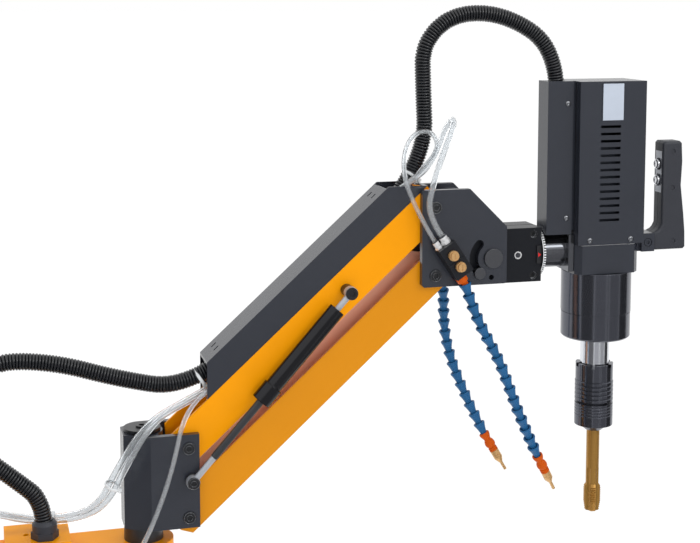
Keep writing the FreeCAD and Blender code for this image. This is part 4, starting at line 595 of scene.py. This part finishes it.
def cut_line(points, distance):
    """The line in two parts, at a distance along it."""
    spot, _ = along(points, distance)
    first, run = [points[0]], 0.0
    for a, b in zip(points, points[1:]):
        step = (b - a).length
        if run + step >= distance:
            rest = points[len(first):]
            return first + [spot], [spot] + rest
        run += step
        first.append(b)
    return points, []


def cord_piece(name, points, stations, sides, finish_name,
               bore=None):
    """One stretch of a conduit or tube."""
    obj = tube_mesh(name, points, stations, sides, bore)
    dress(obj, finish_name)
    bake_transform(obj)
    line_length(points)
    return obj


class MachineLook(bpy.types.PropertyGroup):
    orange: FloatVectorProperty(name="Orange", description="Colour of the arms", default=(0.84, 0.31, 0.001),
                                subtype="COLOR", size=3)
    black: FloatVectorProperty(name="Black", description="Colour of the powder coated pieces",
                               default=(0.023, 0.026, 0.035), subtype="COLOR", size=3)
    blue: FloatVectorProperty(name="Blue", description="Colour of the coolant hoses",
                              default=(0.016, 0.100, 0.24), subtype="COLOR", size=3)
    conduit: FloatProperty(name="Conduit", description="Outer diameter of the conduit", default=22.0 * MM,
                           unit="LENGTH")
    rib_pitch: FloatProperty(name="Rib pitch", description="Distance between the conduit's ribs",
                             default=3.9 * MM, unit="LENGTH")
    rib_depth: FloatProperty(name="Rib depth", description="Depth of the conduit's ribs", default=2.1 * MM,
                             unit="LENGTH")
    rim: FloatProperty(name="Hose rim", description="Outer diameter of a hose segment", default=16.8 * MM,
                       unit="LENGTH")


class StageLook(bpy.types.PropertyGroup):
    lens: FloatProperty(name="Lens", description="Focal length of the camera in millimetres", default=72.0)
    floor_color: FloatVectorProperty(name="Floor", description="Colour of the floor",
                                     default=(0.93, 0.93, 0.93), subtype="COLOR", size=3)
    strength: FloatProperty(name="Light", description="Strength of the surrounding light", default=0.72)


# The CAD pieces that show, with the rounding of their edges in millimetres
ROUNDED = {
    "column": 1.0, "column_cap": 0.5, "rear_arm": 0.9, "junction_box": 0.7, "front_post": 0.4, "post_cap": 0.4,
    "swivel_bracket": 0.7, "swivel_pins": 0.8, "head_pins": 0.8, "upper_channel": 0.6, "lower_channel": 0.6,
    "cable_cover": 0.5, "gas_stud_high": 0.35, "gas_rod_eye": 0.4, "gas_rod": 0.2, "gas_barrel": 0.8,
    "gas_barrel_eye": 0.4, "front_plate": 0.7, "rear_plate": 0.7, "tilt_pin": 0.5, "tilt_lock": 0.5,
    "index_block": 0.5, "pointer_plate": 0.15, "head_shaft": 0.5, "angle_dial": 0.3,
    "motor_block": 0.7, "motor_cover": 0.4, "side_box": 0.4, "gear_upper": 0.4, "gear_lower": 0.6,
    "spindle": 0.3, "chuck_body": 0.3, "chuck_sleeve": 0.2, "tap": 0.08, "handle_clamp": 0.5,
    "handle_front": 0.3, "handle_rear": 0.3, "button_plate": 0.2, "spray_blocks": 0.4, "cable_gland": 0.4,
}
# The CAD pieces whose finish has another name than their slot
OTHER_FINISHES = {node: name for name, nodes in {
    "channel_paint_with_painted_shade": ("lower_channel",),
    "block_paint": ("motor_block",),
    "index_paint": ("index_block",),
    "dark_paint": ("spray_blocks",),
    "pointer": ("pointer_plate",),
    "black_oxide": ("angle_dial", "post_cap", "swivel_pins", "head_pins", "gas_stud_high", "column_cap"),
    "pin_black": ("tilt_pin", "tilt_lock"),
    "shaft_black": ("head_shaft",),
    "gas_black": ("gas_barrel",),
    "gloss_black": ("chuck_body", "chuck_sleeve"),
}.items() for node in nodes}


class MACHINE_OT_finishes(bpy.types.Operator):
    """Makes the procedural finishes"""
    bl_idname = "machine.finishes"
    bl_label = "Finishes"

    def execute(self, context):
        FINISHES.update(make_finishes(context.scene.machine_look))
        return {"FINISHED"}


class MACHINE_OT_frame_pieces(bpy.types.Operator):
    """Gives the CAD pieces their finishes and rounds the edges of those that show"""
    bl_idname = "machine.frame_pieces"
    bl_label = "Frame pieces"

    def execute(self, context):
        slots = {piece["node"]: piece["material_slot"] for piece in frame["record"]["subparts"]}
        for node, obj in NODES.items():
            name = OTHER_FINISHES.get(node, slots[node])
            dress(obj, name)
            if node in ROUNDED:
                piece = self.rounded(node, obj, ROUNDED[node])
                rides(piece, BODIES[node], slots[node], name)
                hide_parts(node)
        return {"FINISHED"}

    def rounded(self, node, obj, width):
        """A copy of a CAD piece with its faces merged and its sharp edges rounded."""
        piece = bpy.data.objects.new(f"{node}_rounded", obj.data.copy())
        bpy.context.collection.objects.link(piece)
        only(piece)
        if piece.data.has_custom_normals:
            bpy.ops.mesh.customdata_custom_splitnormals_clear()
        bpy.ops.object.mode_set(mode="EDIT")
        bpy.ops.mesh.select_mode(type="VERT")
        bpy.ops.mesh.select_all(action="SELECT")
        bpy.ops.mesh.remove_doubles(threshold=0.004 * MM)
        bpy.ops.mesh.dissolve_limited(angle_limit=math.radians(0.6))
        bpy.ops.mesh.select_all(action="DESELECT")
        bpy.ops.object.mode_set(mode="OBJECT")
        smooth(piece, 30)
        bevel = piece.modifiers.new("Edges", "BEVEL")
        bevel.width = width * MM
        bevel.segments = 2
        bevel.limit_method = "ANGLE"
        bevel.angle_limit = math.radians(40)
        bevel.harden_normals = True
        bpy.ops.object.modifier_apply(modifier="Edges")
        return piece


class MACHINE_OT_conduits(bpy.types.Operator):
    """Adds the two ribbed conduits, each cut into stretches"""
    bl_idname = "machine.conduits"
    bl_label = "Conduits"

    def execute(self, context):
        look = context.scene.machine_look
        low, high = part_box("side_box")
        left, front = CONDUIT_HOLE
        mouth = Vector((low.x + left * MM, low.y + front * MM, high.z))
        corners = beside(HEAD_PIVOT, UPPER_CONDUIT) + beside(mouth, [(-3, 1, 46), (0, 0, -8)])
        self.stretches(look, "upper_conduit", corners, "conduit_upper",
                       (("upper_arm", "head_bracket", 0.29), ("head_bracket", "index", 0.36),
                        ("index", "head", 0.35)))
        gland, top = middle("cable_gland"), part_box("cable_gland")[1].z
        corners = beside(ARM_PIVOT, LOWER_CONDUIT)
        corners += [Vector((gland.x, gland.y, top + rise * MM)) for rise in GLAND_STEPS]
        self.stretches(look, "lower_conduit", corners, "conduit_lower",
                       (("upper_arm", "swivel", 0.25), ("swivel", "rear_arm_body", 0.75)))
        return {"FINISHED"}

    def stretches(self, look, name, corners, node, parts):
        """Cuts a conduit into parts, each given by two bodies, which are not used, and its share of the length."""
        rest = spline_points(corners)
        total = line_length(rest)
        made = []
        for body, next_body, share in parts:
            piece, rest = cut_line(rest, share * total) if len(made) < len(parts) - 1 else (rest, [])
            stations = ribbed_stations(line_length(piece), look)
            made.append(cord_piece(f"{name}_{len(made) + 1}", piece, stations, 24,
                                   "conduit_plastic"))
        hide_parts(node)


class MACHINE_OT_tubes(bpy.types.Operator):
    """Adds the clear air tubes"""
    bl_idname = "machine.tubes"
    bl_label = "Air tubes"

    def execute(self, context):
        low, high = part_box("rear_arm")
        side_x, side_z = SIDE_HOLE
        ends = [[Vector((x, y, high.z + rise)), Vector((x, y, high.z - 0.008))] for x, y, rise in ROOF_HOLES]
        ends.append([Vector((side_x, low.y - 0.024, side_z)), Vector((side_x, low.y + 0.005, side_z))])
        for name, route, end, radius, share in (("first_tube", FIRST_TUBE, ends[0], 4, 0.3),
                                                ("second_tube", SECOND_TUBE, ends[1], 4, 0.3),
                                                ("thin_tube", THIN_TUBE, ends[2], 3, 0.6)):
            points = spline_points(beside(ARM_PIVOT, route) + end)
            start, rest = cut_line(points, line_length(points) * share)
            self.tube(f"{name}_a", start, radius, ("upper_arm", "swivel"))
            self.tube(f"{name}_b", rest, radius, ("swivel", "rear_arm_body"))
        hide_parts("tubes_lower")
        for name, (across, _, _), route, radius in (("upper_thin_tube", FITTINGS[0], UPPER_THIN, 3),
                                                    ("upper_thick_tube", FITTINGS[1], UPPER_THICK, 4)):
            top = spray_spot(across, -SPRAY_HALF - FITTING_TALL)
            points = spline_points([top] + beside(HEAD_PIVOT, route))
            self.tube(name, points, radius, ("head_bracket", "upper_arm"))
        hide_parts("tubes_upper")
        return {"FINISHED"}

    def tube(self, name, points, radius, bodies):
        stations = plain_stations(line_length(points), radius * MM, 3 * MM)
        return cord_piece(name, points, stations, 20, "clear_tube",
                          (radius - TUBE_WALL) * MM)


def spray_spot(across, along, out=0.0):
    """A point on the tilted spray block: millimetres across it, down along it and out from its middle."""
    tilt = math.radians(SPRAY_TILT)
    turned = Vector((across * math.cos(tilt) + along * math.sin(tilt), -out,
                     across * math.sin(tilt) - along * math.cos(tilt)))
    return HEAD_PIVOT + (SPRAY_MIDDLE + turned) * MM


def heading(turn, swing):
    """A direction that is turned from straight down toward +X and swung toward +Y."""
    a, b = math.radians(turn), math.radians(swing)
    return Vector((math.sin(a) * math.cos(b), math.sin(b), -math.cos(a) * math.cos(b)))


def hose_steps(start, turns, swings, end, step=15.8):
    """The start and direction of every segment of a hose from the top down, and those of its connector."""
    spot, steps = start.copy(), []
    for turn, swing in zip(turns, swings):
        steps.append((spot.copy(), heading(turn, swing)))
        spot += steps[-1][1] * step * MM
    return steps + [(spot, heading(*end))]


class MACHINE_OT_hoses(bpy.types.Operator):
    """Adds the segmented coolant hoses with their connectors and nozzle tips"""
    bl_idname = "machine.hoses"
    bl_label = "Coolant hoses"

    def execute(self, context):
        rim = context.scene.machine_look.rim / 2 / MM
        cup = outlined("cup", [(3.4, 4.6), (4.6, 3.2), (rim - 1.7, 0.2), (rim - 0.9, 0), (rim - 0.2, 0.5),
                               (rim, 1.4), (rim - 0.3, 2.5), (rim - 1.3, 5.0), (rim - 2.3, 8.2),
                               (rim - 3.1, 11.4), (4.7, 14.2), (4.5, 15.4), (4.3, 19.4), (3.6, 20.4)], 28)
        cuff = outlined("cuff", [(3.2, 3.4), (5.6, 0.5), (6.4, 0), (7.2, 0.5), (7.5, 1.8), (7.1, 4.0),
                                 (6.0, 7.2), (4.8, 10.0), (5.2, 11.4), (6.4, 13.2), (7.1, 15.6), (7.3, 17.6),
                                 (7.0, 19.8), (6.0, 21.8), (5.4, 23.0), (5.4, 23.8), (6.2, 24.0), (6.2, 25.6),
                                 (5.6, 25.9), (5.6, 26.4), (6.2, 26.7), (6.2, 28.6), (5.6, 29)], 28)
        tip = outlined("tip", [(5.0, 28.6), (6.0, 29.2), (6.0, 35.0), (5.6, 35.3), (5.6, 35.8), (6.0, 36.1),
                               (6.0, 41.0), (5.4, 42.0), (4.2, 44.6), (2.8, 47.2), (2.2, 48.6), (2.1, 52.8),
                               (2.4, 53.2), (2.1, 53.8), (2.1, 56.4), (2.4, 56.8), (2.1, 57.4), (2.2, 60),
                               (1.2, 60), (1.1, 56)], 28)
        hoses, cuffs, tips = [], [], []
        front = spray_spot(-5, SPRAY_HALF + 12)
        rear = HEAD_PIVOT + Vector((36, 48, 4)) * MM
        for start, turns, swings, end, stub_way, stub_long in (
                (front, FRONT_TURNS, FRONT_SWINGS, FRONT_END, heading(SPRAY_TILT, 0), 12),
                (rear, REAR_TURNS, REAR_SWINGS, REAR_END, heading(0, 0), 10)):
            steps = hose_steps(start, turns, swings, end)
            for spot, way in steps[:-1]:
                hoses.append(placed(copy_of(cup, "segment"), spot, way))
            cuffs.append(placed(copy_of(cuff, "end"), *steps[-1]))
            tips.append(placed(copy_of(tip, "end"), *steps[-1]))
            collar = stub_long - 3.4
            stub = outlined("stub", [(5.0, 0), (7.1, 0.1), (7.5, 0.6), (7.5, collar - 1.2), (6.9, collar - 0.2),
                                     (4.6, collar), (4.4, stub_long + 3)], 28)
            cuffs.append(placed(stub, start - stub_way * stub_long * MM, stub_way))
        for pattern in (cup, cuff, tip):
            bpy.data.objects.remove(pattern)
        for name, parts, slot_name, node in (("hose_segments", hoses, "blue_plastic", "coolant_hoses"),
                                             ("hose_cuffs", cuffs, "orange_plastic", "hose_connectors"),
                                             ("hose_tips", tips, "brass", "nozzle_tips")):
            group(name, parts, "head_bracket", slot_name, node=node, degrees=40)
        return {"FINISHED"}


class MACHINE_OT_valves(bpy.types.Operator):
    """Adds the two valve knobs and the tube fittings of the spray block"""
    bl_idname = "machine.valves"
    bl_label = "Valves"

    def execute(self, context):
        knob = outlined("knob", [(3.3, -7.0), (3.3, 0.2), (6.4, 0.4), (7.0, 0.9), (7.0, 5.2), (6.5, 5.7),
                                 (5.6, 5.8), (5.4, 6.4), (5.4, 9.6), (5.0, 10.0), (4.2, 10.0), (4.0, 9.5),
                                 (1.0, 9.5)], 40)
        self.knurl(knob, 7.0)
        for node, along, body in (("knob_high", -9, "valve_high"), ("knob_low", 9, "valve_low")):
            piece = placed(copy_of(knob, f"{node}_turned"), spray_spot(0, along, 11), FRONT)
            self.slotted(piece, spray_spot(0, along, 21))
            group(f"{node}_turned", [piece], body, "brass", node=node)
        bpy.data.objects.remove(knob)
        tilt = math.radians(SPRAY_TILT)
        up = Vector((-math.sin(tilt), 0, math.cos(tilt)))
        parts, collars = [], []
        for across, size, tall in FITTINGS:
            nut = outlined("nut", [(size * 0.8, 0), (size, 0.4), (size, tall - 0.4), (size * 0.8, tall)], 6)
            sleeve = outlined("sleeve", [(3.4, tall - 0.5), (size * 0.82, tall), (size * 0.86, tall + 0.5),
                                         (size * 0.86, 10.2), (size * 0.78, 10.8), (3.2, 10.8)])
            collar = outlined("collar", [(2.6, 10.5), (size * 0.72, 10.6), (size * 0.8, 11.0),
                                         (size * 0.8, 11.9), (size * 0.7, FITTING_TALL), (2.6, FITTING_TALL)])
            for obj, pieces in ((nut, parts), (sleeve, parts), (collar, collars)):
                pieces.append(placed(obj, spray_spot(across, -SPRAY_HALF), up))
        group("fitting_bodies", parts, "head_bracket", "chrome", "nickel", "tube_fittings")
        group("fitting_collars", collars, "head_bracket", "black_plastic")
        return {"FINISHED"}

    def knurl(self, obj, radius):
        """Pulls every second column of the rim in, so that fingers can grip it."""
        for vertex in obj.data.vertices:
            x, y = vertex.co.x / MM, vertex.co.y / MM
            turn = math.atan2(y, x) / math.tau * 40
            if abs(math.hypot(x, y) - radius) < 0.01 and round(turn) % 2:
                vertex.co.x *= 0.94
                vertex.co.y *= 0.94

    def slotted(self, obj, spot):
        """Sinks a screwdriver slot into the face of a knob."""
        cutter = cube(spot, (1.4, 3.2, 7.4))
        only(obj)
        cut = obj.modifiers.new("Slot", "BOOLEAN")
        cut.operation = "DIFFERENCE"
        cut.object = cutter
        bpy.ops.object.modifier_apply(modifier="Slot")
        bpy.data.objects.remove(cutter)


class MACHINE_OT_fixings(bpy.types.Operator):
    """Adds the screw heads, lighter rings on the pins as painted highlights, the dial's ticks with a painted
    highlight line, and the push buttons
    """
    bl_idname = "machine.fixings"
    bl_label = "Screws and buttons"

    def execute(self, context):
        self.cover_screws()
        self.clamp_heads()
        self.pin_rings()
        self.dial_marks()
        self.buttons()
        return {"FINISHED"}

    def cover_screws(self):
        """Domed heads with a socket."""
        dome = outlined("dome", [(2.9, -6), (2.9, 0.0), (3.9, 0.05), (4.0, 0.5), (3.8, 1.1), (3.2, 1.7),
                                 (2.3, 2.05), (1.5, 2.1), (1.3, 1.2), (0.6, 0.9)])
        screws = []
        for low, high in solids("cover_screws"):
            spot = Vector(((low.x + high.x) / 2, low.y + 1.4 * MM, (low.z + high.z) / 2))
            screws.append(placed(copy_of(dome, "screw"), spot, FRONT))
        bpy.data.objects.remove(dome)
        group("cover_domes", screws, "head", "bright_steel", "screw_steel", "cover_screws")

    def buttons(self):
        """The caps of the push buttons, and the rings round them."""
        rings = []
        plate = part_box("button_plate")[0].x
        for node, body in (("button_high", "upper_button"), ("button_low", "lower_button")):
            spot = Vector((plate, *middle(node).yz))
            button = outlined("cap", [(6.4, -6), (6.6, 0), (7.0, 0.8), (7.0, 3.3), (6.6, 4.2), (5.7, 4.8),
                                      (4.6, 5.0), (4.2, 4.7), (1.5, 4.55)], 40)
            group(f"{node}_cap", [placed(button, spot, LEFT)], body, "chrome", node=node)
            ring = outlined("ring", [(7.15, 0.0), (8.3, 0.05), (8.4, 0.5), (8.1, 1.1), (7.5, 1.2),
                                     (7.15, 0.8)], 40)
            rings.append(placed(ring, spot, LEFT))
        group("button_rings", rings, "head", "black_plastic")

    def pin_rings(self):
        """Rings of lighter steel on the rims and socket edges of the pivot pins' heads: painted highlights."""
        for node, body in (("swivel_pins", "swivel"), ("head_pins", "head_bracket")):
            rings = []
            for low, high in solids(node):
                spot = ((low.x + high.x) / 2, low.y - 0.05 * MM, (low.z + high.z) / 2)
                reach = (high.x - low.x) / 2
                for share, thick in ((0.9, 0.32), (0.48, 0.25)):
                    bpy.ops.mesh.primitive_torus_add(location=spot, rotation=(math.pi / 2, 0, 0),
                                                     major_radius=reach * share, minor_radius=thick * MM,
                                                     major_segments=40, minor_segments=8)
                    settle(bpy.context.object)
                    rings.append(bpy.context.object)
            # The rings are lighter than the black pins to paint in the highlights on their rims and socket edges.
            group(f"{node}_rings", rings, body, "dark_steel", "screw_steel", degrees=60)

    def dial_marks(self):
        """White ticks round the rim of the angle dial, with a thin white line beside them that is a painted
        highlight along the dial's edge.
        """
        low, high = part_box("angle_dial")
        reach = (high.z - low.z) / 2
        centre = Vector((0, *middle("angle_dial").yz))
        marks_and_rim_highlight = []
        for i in range(DIAL_MARKS):
            turn = math.tau * i / DIAL_MARKS
            way = Vector((0, math.sin(turn), math.cos(turn)))
            marks_and_rim_highlight.append(cube(centre + way * reach + Vector((high.x - 1.3 * MM, 0, 0)), (2.7, 1.5, 0.5),
                              (-turn, 0, 0)))
        # A thin white disc just wider than the dial, on its left face, shows as a line: a painted highlight along
        # the dial's edge.
        bpy.ops.mesh.primitive_cylinder_add(vertices=120, radius=reach + 0.22 * MM, depth=0.7 * MM,
                                            location=centre + Vector((low.x + 0.5 * MM, 0, 0)),
                                            rotation=(0, math.pi / 2, 0))
        settle(bpy.context.object)
        marks_and_rim_highlight.append(bpy.context.object)
        group("dial_marks", marks_and_rim_highlight, BODIES["angle_dial"], "white_nylon", "marks_and_rim_highlight")

    def clamp_heads(self):
        """The two clamp screws sit deep in their counterbores, and the middle hole has a bare ring."""
        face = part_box("index_block")[0].y
        clamp_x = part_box("clamp_screws")[1].x - 5 * MM
        head = outlined("head", [(2.9, -8), (3.0, -2.6), (4.6, -2.5), (4.7, -0.3), (4.4, 0), (2.4, 0),
                                 (2.2, -2.0), (0.8, -2.2)], 30)
        spots = [Vector((clamp_x, face + 5.2 * MM, TILT_PIN.z + rise * MM)) for rise in CLAMP_RISES]
        parts = [placed(copy_of(head, "screw"), spot, FRONT) for spot in spots]
        bpy.data.objects.remove(head)
        ring = outlined("hole_ring", [(5.2, -5.7), (5.3, -0.7), (4.9, -0.2), (4.0, -0.3), (3.5, -1.2),
                                      (3.3, -5.2)], 36)
        core = outlined("hole_core", [(3.25, -5.3), (3.4, -1.5)], 36)
        hole = Vector((clamp_x - HOLE_BACK * MM, face, TILT_PIN.z))
        group("hole_core", [placed(core, hole, FRONT)], "index", "black_plastic")
        group("clamp_heads", parts, "index", "dark_steel", "black_oxide", "clamp_screws")
        group("hole_ring", [placed(ring, hole, FRONT)], "index", "bright_steel", "nickel")


class MACHINE_OT_ties(bpy.types.Operator):
    """Adds the nylon ties round the conduits and tubes"""
    bl_idname = "machine.ties"
    bl_label = "Cable ties"

    def execute(self, context):
        lower, upper = beside(ARM_PIVOT, LOWER_CONDUIT[:2]), beside(HEAD_PIVOT, UPPER_CONDUIT[:2])
        first = self.tie("lower_tie", lower[0].lerp(lower[1], 0.6), lower[1] - lower[0], 12.0, "upper_arm")
        self.tie("upper_tie", upper[0].lerp(upper[1], 0.52), upper[1] - upper[0], 12.0, "upper_arm")
        high, low = beside(ARM_PIVOT, [(-96, -37.5, 50.5), (-166.5, 15.8, -5)])
        self.tie("bundle_tie_a", high, (-22.5, 13, -51), 9.9, "swivel", "first_tube")
        self.tie("bundle_tie_b", low, (-56, 6, 0), 9.4, "rear_arm_body")
        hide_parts("cable_ties")
        return {"FINISHED"}

    def tie(self, name, spot, way, radius, body, tube=None):
        """A tie that rides on a body, or one on a tube's second stretch."""
        bpy.ops.object.select_all(action="DESELECT")
        bpy.ops.mesh.primitive_torus_add(major_radius=radius * MM, minor_radius=0.9 * MM, major_segments=40,
                                         minor_segments=8)
        band = bpy.context.object
        band.scale = (1, 1, 2.2)
        settle(band)
        head = eased(cube((0, -(radius + 1.6) * MM, 0), (5, 4, 6)), 0.7 * MM)
        obj = joined(name, [band, head])
        smooth(obj, 40)
        placed(obj, spot, way)
        if not tube:
            return rides(obj, body, "white_nylon")
        dress(obj, "white_nylon")
        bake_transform(obj)
        return obj


class MACHINE_OT_label(bpy.types.Operator):
    """Adds the bare label plate on the motor cover"""
    bl_idname = "machine.label"
    bl_label = "Label plate"

    def execute(self, context):
        x, z = LABEL_SPOT
        obj = eased(cube((x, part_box("motor_cover")[0].y - 0.1 * MM, z), LABEL_SIZE), 0.12 * MM)
        obj.name = "label_plate"
        rides(obj, "head", "white_nylon", "label")
        return {"FINISHED"}


# Cards that lie round the stage in wedges, turn up at a ring and only show in polished surfaces: name, the
# angles that each one spans, in degrees from the front toward +X, and how bright it is
CARDS = (("card_left", -107, -80, 0.04), ("card_front_left", -72, -30, 0.14), ("card_front", -26, 12, 0.42),
         ("card_gap", 15, 19, 0.06), ("card_front_right", 22, 57, 0.36), ("card_right", 60, 96, 0.04))
CARD_START = 0.25
CARD_RING = 4.0
CARD_LIFT = 0.01
CARD_HEIGHT = 1.6
CARD_CENTRE = (0.95, 0.0)
# Soft lamps: name, place, what each one points at, its two sizes in metres and its power
LAMPS = (("strip", (1.95, -2.35, 2.2), (0.8, 0, 0.65), (1.6, 0.6), 14),
         ("fill", (0.5, -3.2, 1.15), (0.7, 0, 0.6), (1.6, 1.0), 30),
         ("side", (3.0, -0.8, 1.6), (0.9, 0, 0.6), (1.4, 1.4), 8),
         ("back", (-0.5, 3.3, 1.5), (0.7, 0, 0.7), (3.0, 2.0), 40),
         ("top", (0.4, 0.9, 3.2), (0.7, 0, 0.5), (1.8, 1.8), 26))
# The photo's width and height in pixels, the row where the camera's axis meets it, and the camera's place in
# metres and turn in degrees
PHOTO_WIDE, PHOTO_TALL = 700, 543
AXIS_ROW = 155
CAMERA_SPOT = (0.1942, -1.7469, 1.0094)
CAMERA_TURN = (90 - 6.2, 0, -15.4)


class MACHINE_OT_stage(bpy.types.Operator):
    """Sets the floor, the lights and the camera"""
    bl_idname = "machine.stage"
    bl_label = "Stage"

    def execute(self, context):
        look = context.scene.stage_look
        scene = context.scene
        bpy.ops.object.select_all(action="DESELECT")
        bpy.ops.mesh.primitive_plane_add(size=300, location=(0, 0, 0))
        floor = context.object
        floor.name = "floor"
        floor.data.materials.append(self.pale("floor_pale", tuple(look.floor_color)))
        for name, first, last, level in CARDS:
            self.card(name, math.radians(first), math.radians(last), level)
        self.world(scene, look)
        for name, place, aim, size, power in LAMPS:
            lamp = bpy.data.lights.new(name, "AREA")
            lamp.shape = "RECTANGLE"
            lamp.size, lamp.size_y = size
            lamp.energy = power
            obj = bpy.data.objects.new(name, lamp)
            obj.location = place
            obj.rotation_euler = (Vector(aim) - Vector(place)).to_track_quat("-Z", "Y").to_euler()
            obj.visible_camera = False
            obj.visible_glossy = name == "strip"
            scene.collection.objects.link(obj)
        camera = bpy.data.cameras.new("camera")
        camera.lens = look.lens
        camera.sensor_width = 36
        camera.shift_y = -(PHOTO_TALL / 2 - AXIS_ROW) / PHOTO_WIDE
        camera.clip_end = 500
        obj = bpy.data.objects.new("camera", camera)
        obj.location = CAMERA_SPOT
        obj.rotation_euler = [math.radians(turn) for turn in CAMERA_TURN]
        scene.collection.objects.link(obj)
        scene.camera = obj
        scene.render.resolution_x = PHOTO_WIDE
        scene.render.resolution_y = PHOTO_TALL
        scene.render.resolution_percentage = 100
        scene.view_settings.view_transform = "Standard"
        return {"FINISHED"}

    def pale(self, name, color):
        """The floor shows nearly white to the camera and in reflections, and keeps the shadow."""
        material = bpy.data.materials.new(name)
        material.use_nodes = True
        nodes, links = material.node_tree.nodes, material.node_tree.links
        shader = nodes["Principled BSDF"]
        shader.inputs["Base Color"].default_value = (*color, 1)
        shader.inputs["Roughness"].default_value = 0.9
        shader.inputs["Specular IOR Level"].default_value = 0
        white = nodes.new("ShaderNodeEmission")
        white.inputs["Strength"].default_value = 1.06
        mix = nodes.new("ShaderNodeMixShader")
        share = self.seen(nodes, links)
        less = nodes.new("ShaderNodeMath")
        less.operation = "MULTIPLY"
        less.inputs[1].default_value = 0.9
        links.new(share, less.inputs[0])
        links.new(less.outputs[0], mix.inputs["Fac"])
        links.new(shader.outputs["BSDF"], mix.inputs[1])
        links.new(white.outputs["Emission"], mix.inputs[2])
        links.new(mix.outputs["Shader"], nodes["Material Output"].inputs["Surface"])
        return material

    def seen(self, nodes, links):
        """Is 1 for what the camera sees, straight or in metal or glass."""
        rays = nodes.new("ShaderNodeLightPath")
        share = rays.outputs["Is Camera Ray"]
        for name in ("Is Glossy Ray", "Is Transmission Ray"):
            most = nodes.new("ShaderNodeMath")
            most.operation = "MAXIMUM"
            links.new(share, most.inputs[0])
            links.new(rays.outputs[name], most.inputs[1])
            share = most.outputs[0]
        return share

    def card(self, name, first, last, level):
        """A card on the floor and up behind the camera, as studios put beside a polished piece.

        Only reflections see it."""
        spots = [(CARD_CENTRE[0] + far * math.sin(way), CARD_CENTRE[1] - far * math.cos(way), height)
                 for far, height in ((CARD_START, CARD_LIFT), (CARD_RING, CARD_LIFT), (CARD_RING, CARD_HEIGHT))
                 for way in (first, last)]
        mesh = bpy.data.meshes.new(name)
        mesh.from_pydata(spots, [], [(0, 2, 3, 1), (2, 4, 5, 3)])
        card = bpy.data.objects.new(name, mesh)
        bpy.context.scene.collection.objects.link(card)
        material = bpy.data.materials.new(name)
        material.use_nodes = True
        nodes = material.node_tree.nodes
        glow = nodes.new("ShaderNodeEmission")
        glow.inputs["Color"].default_value = (level, level, level * 1.04, 1)
        material.node_tree.links.new(glow.outputs["Emission"], nodes["Material Output"].inputs["Surface"])
        mesh.materials.append(material)
        for kind in ("camera", "diffuse", "transmission", "volume_scatter", "shadow"):
            setattr(card, f"visible_{kind}", False)

    def world(self, scene, look):
        world = bpy.data.worlds.new("surround")
        world.use_nodes = True
        nodes, links = world.node_tree.nodes, world.node_tree.links
        background = nodes["Background"]
        background.inputs["Color"].default_value = (0.95, 0.96, 0.98, 1)
        background.inputs["Strength"].default_value = look.strength
        white = nodes.new("ShaderNodeBackground")
        white.inputs["Color"].default_value = (1, 1, 1, 1)
        mix = nodes.new("ShaderNodeMixShader")
        links.new(self.seen(nodes, links), mix.inputs["Fac"])
        links.new(background.outputs["Background"], mix.inputs[1])
        links.new(white.outputs["Background"], mix.inputs[2])
        links.new(mix.outputs["Shader"], nodes["World Output"].inputs["Surface"])
        scene.world = world


class MACHINE_PT_panel(bpy.types.Panel):
    bl_label = "Tapping machine"
    bl_idname = "MACHINE_PT_panel"
    bl_space_type = "VIEW_3D"
    bl_region_type = "UI"
    bl_category = "Tapping machine"

    def draw(self, context):
        for group in (context.scene.machine_look, context.scene.stage_look):
            for name in group.bl_rna.properties.keys():
                if name not in ("rna_type", "name"):
                    self.layout.prop(group, name)
        for step in STEPS:
            self.layout.operator(step.bl_idname)


STEPS = (MACHINE_OT_finishes, MACHINE_OT_frame_pieces, MACHINE_OT_conduits, MACHINE_OT_tubes, MACHINE_OT_hoses,
         MACHINE_OT_valves, MACHINE_OT_fixings, MACHINE_OT_ties, MACHINE_OT_label, MACHINE_OT_stage)
CLASSES = (MachineLook, StageLook, *STEPS, MACHINE_PT_panel)


def register():
    for cls in CLASSES:
        bpy.utils.register_class(cls)
    bpy.types.Scene.machine_look = PointerProperty(type=MachineLook)
    bpy.types.Scene.stage_look = PointerProperty(type=StageLook)


def unregister():
    del bpy.types.Scene.stage_look
    del bpy.types.Scene.machine_look
    for cls in reversed(CLASSES):
        bpy.utils.unregister_class(cls)


def main():
    register()
    bpy.ops.machine.finishes()
    bpy.ops.machine.frame_pieces()
    bpy.ops.machine.conduits()
    bpy.ops.machine.tubes()
    bpy.ops.machine.hoses()
    bpy.ops.machine.valves()
    bpy.ops.machine.fixings()
    bpy.ops.machine.ties()
    bpy.ops.machine.label()
    bpy.ops.machine.stage()


if __name__ == "__main__":
    main()
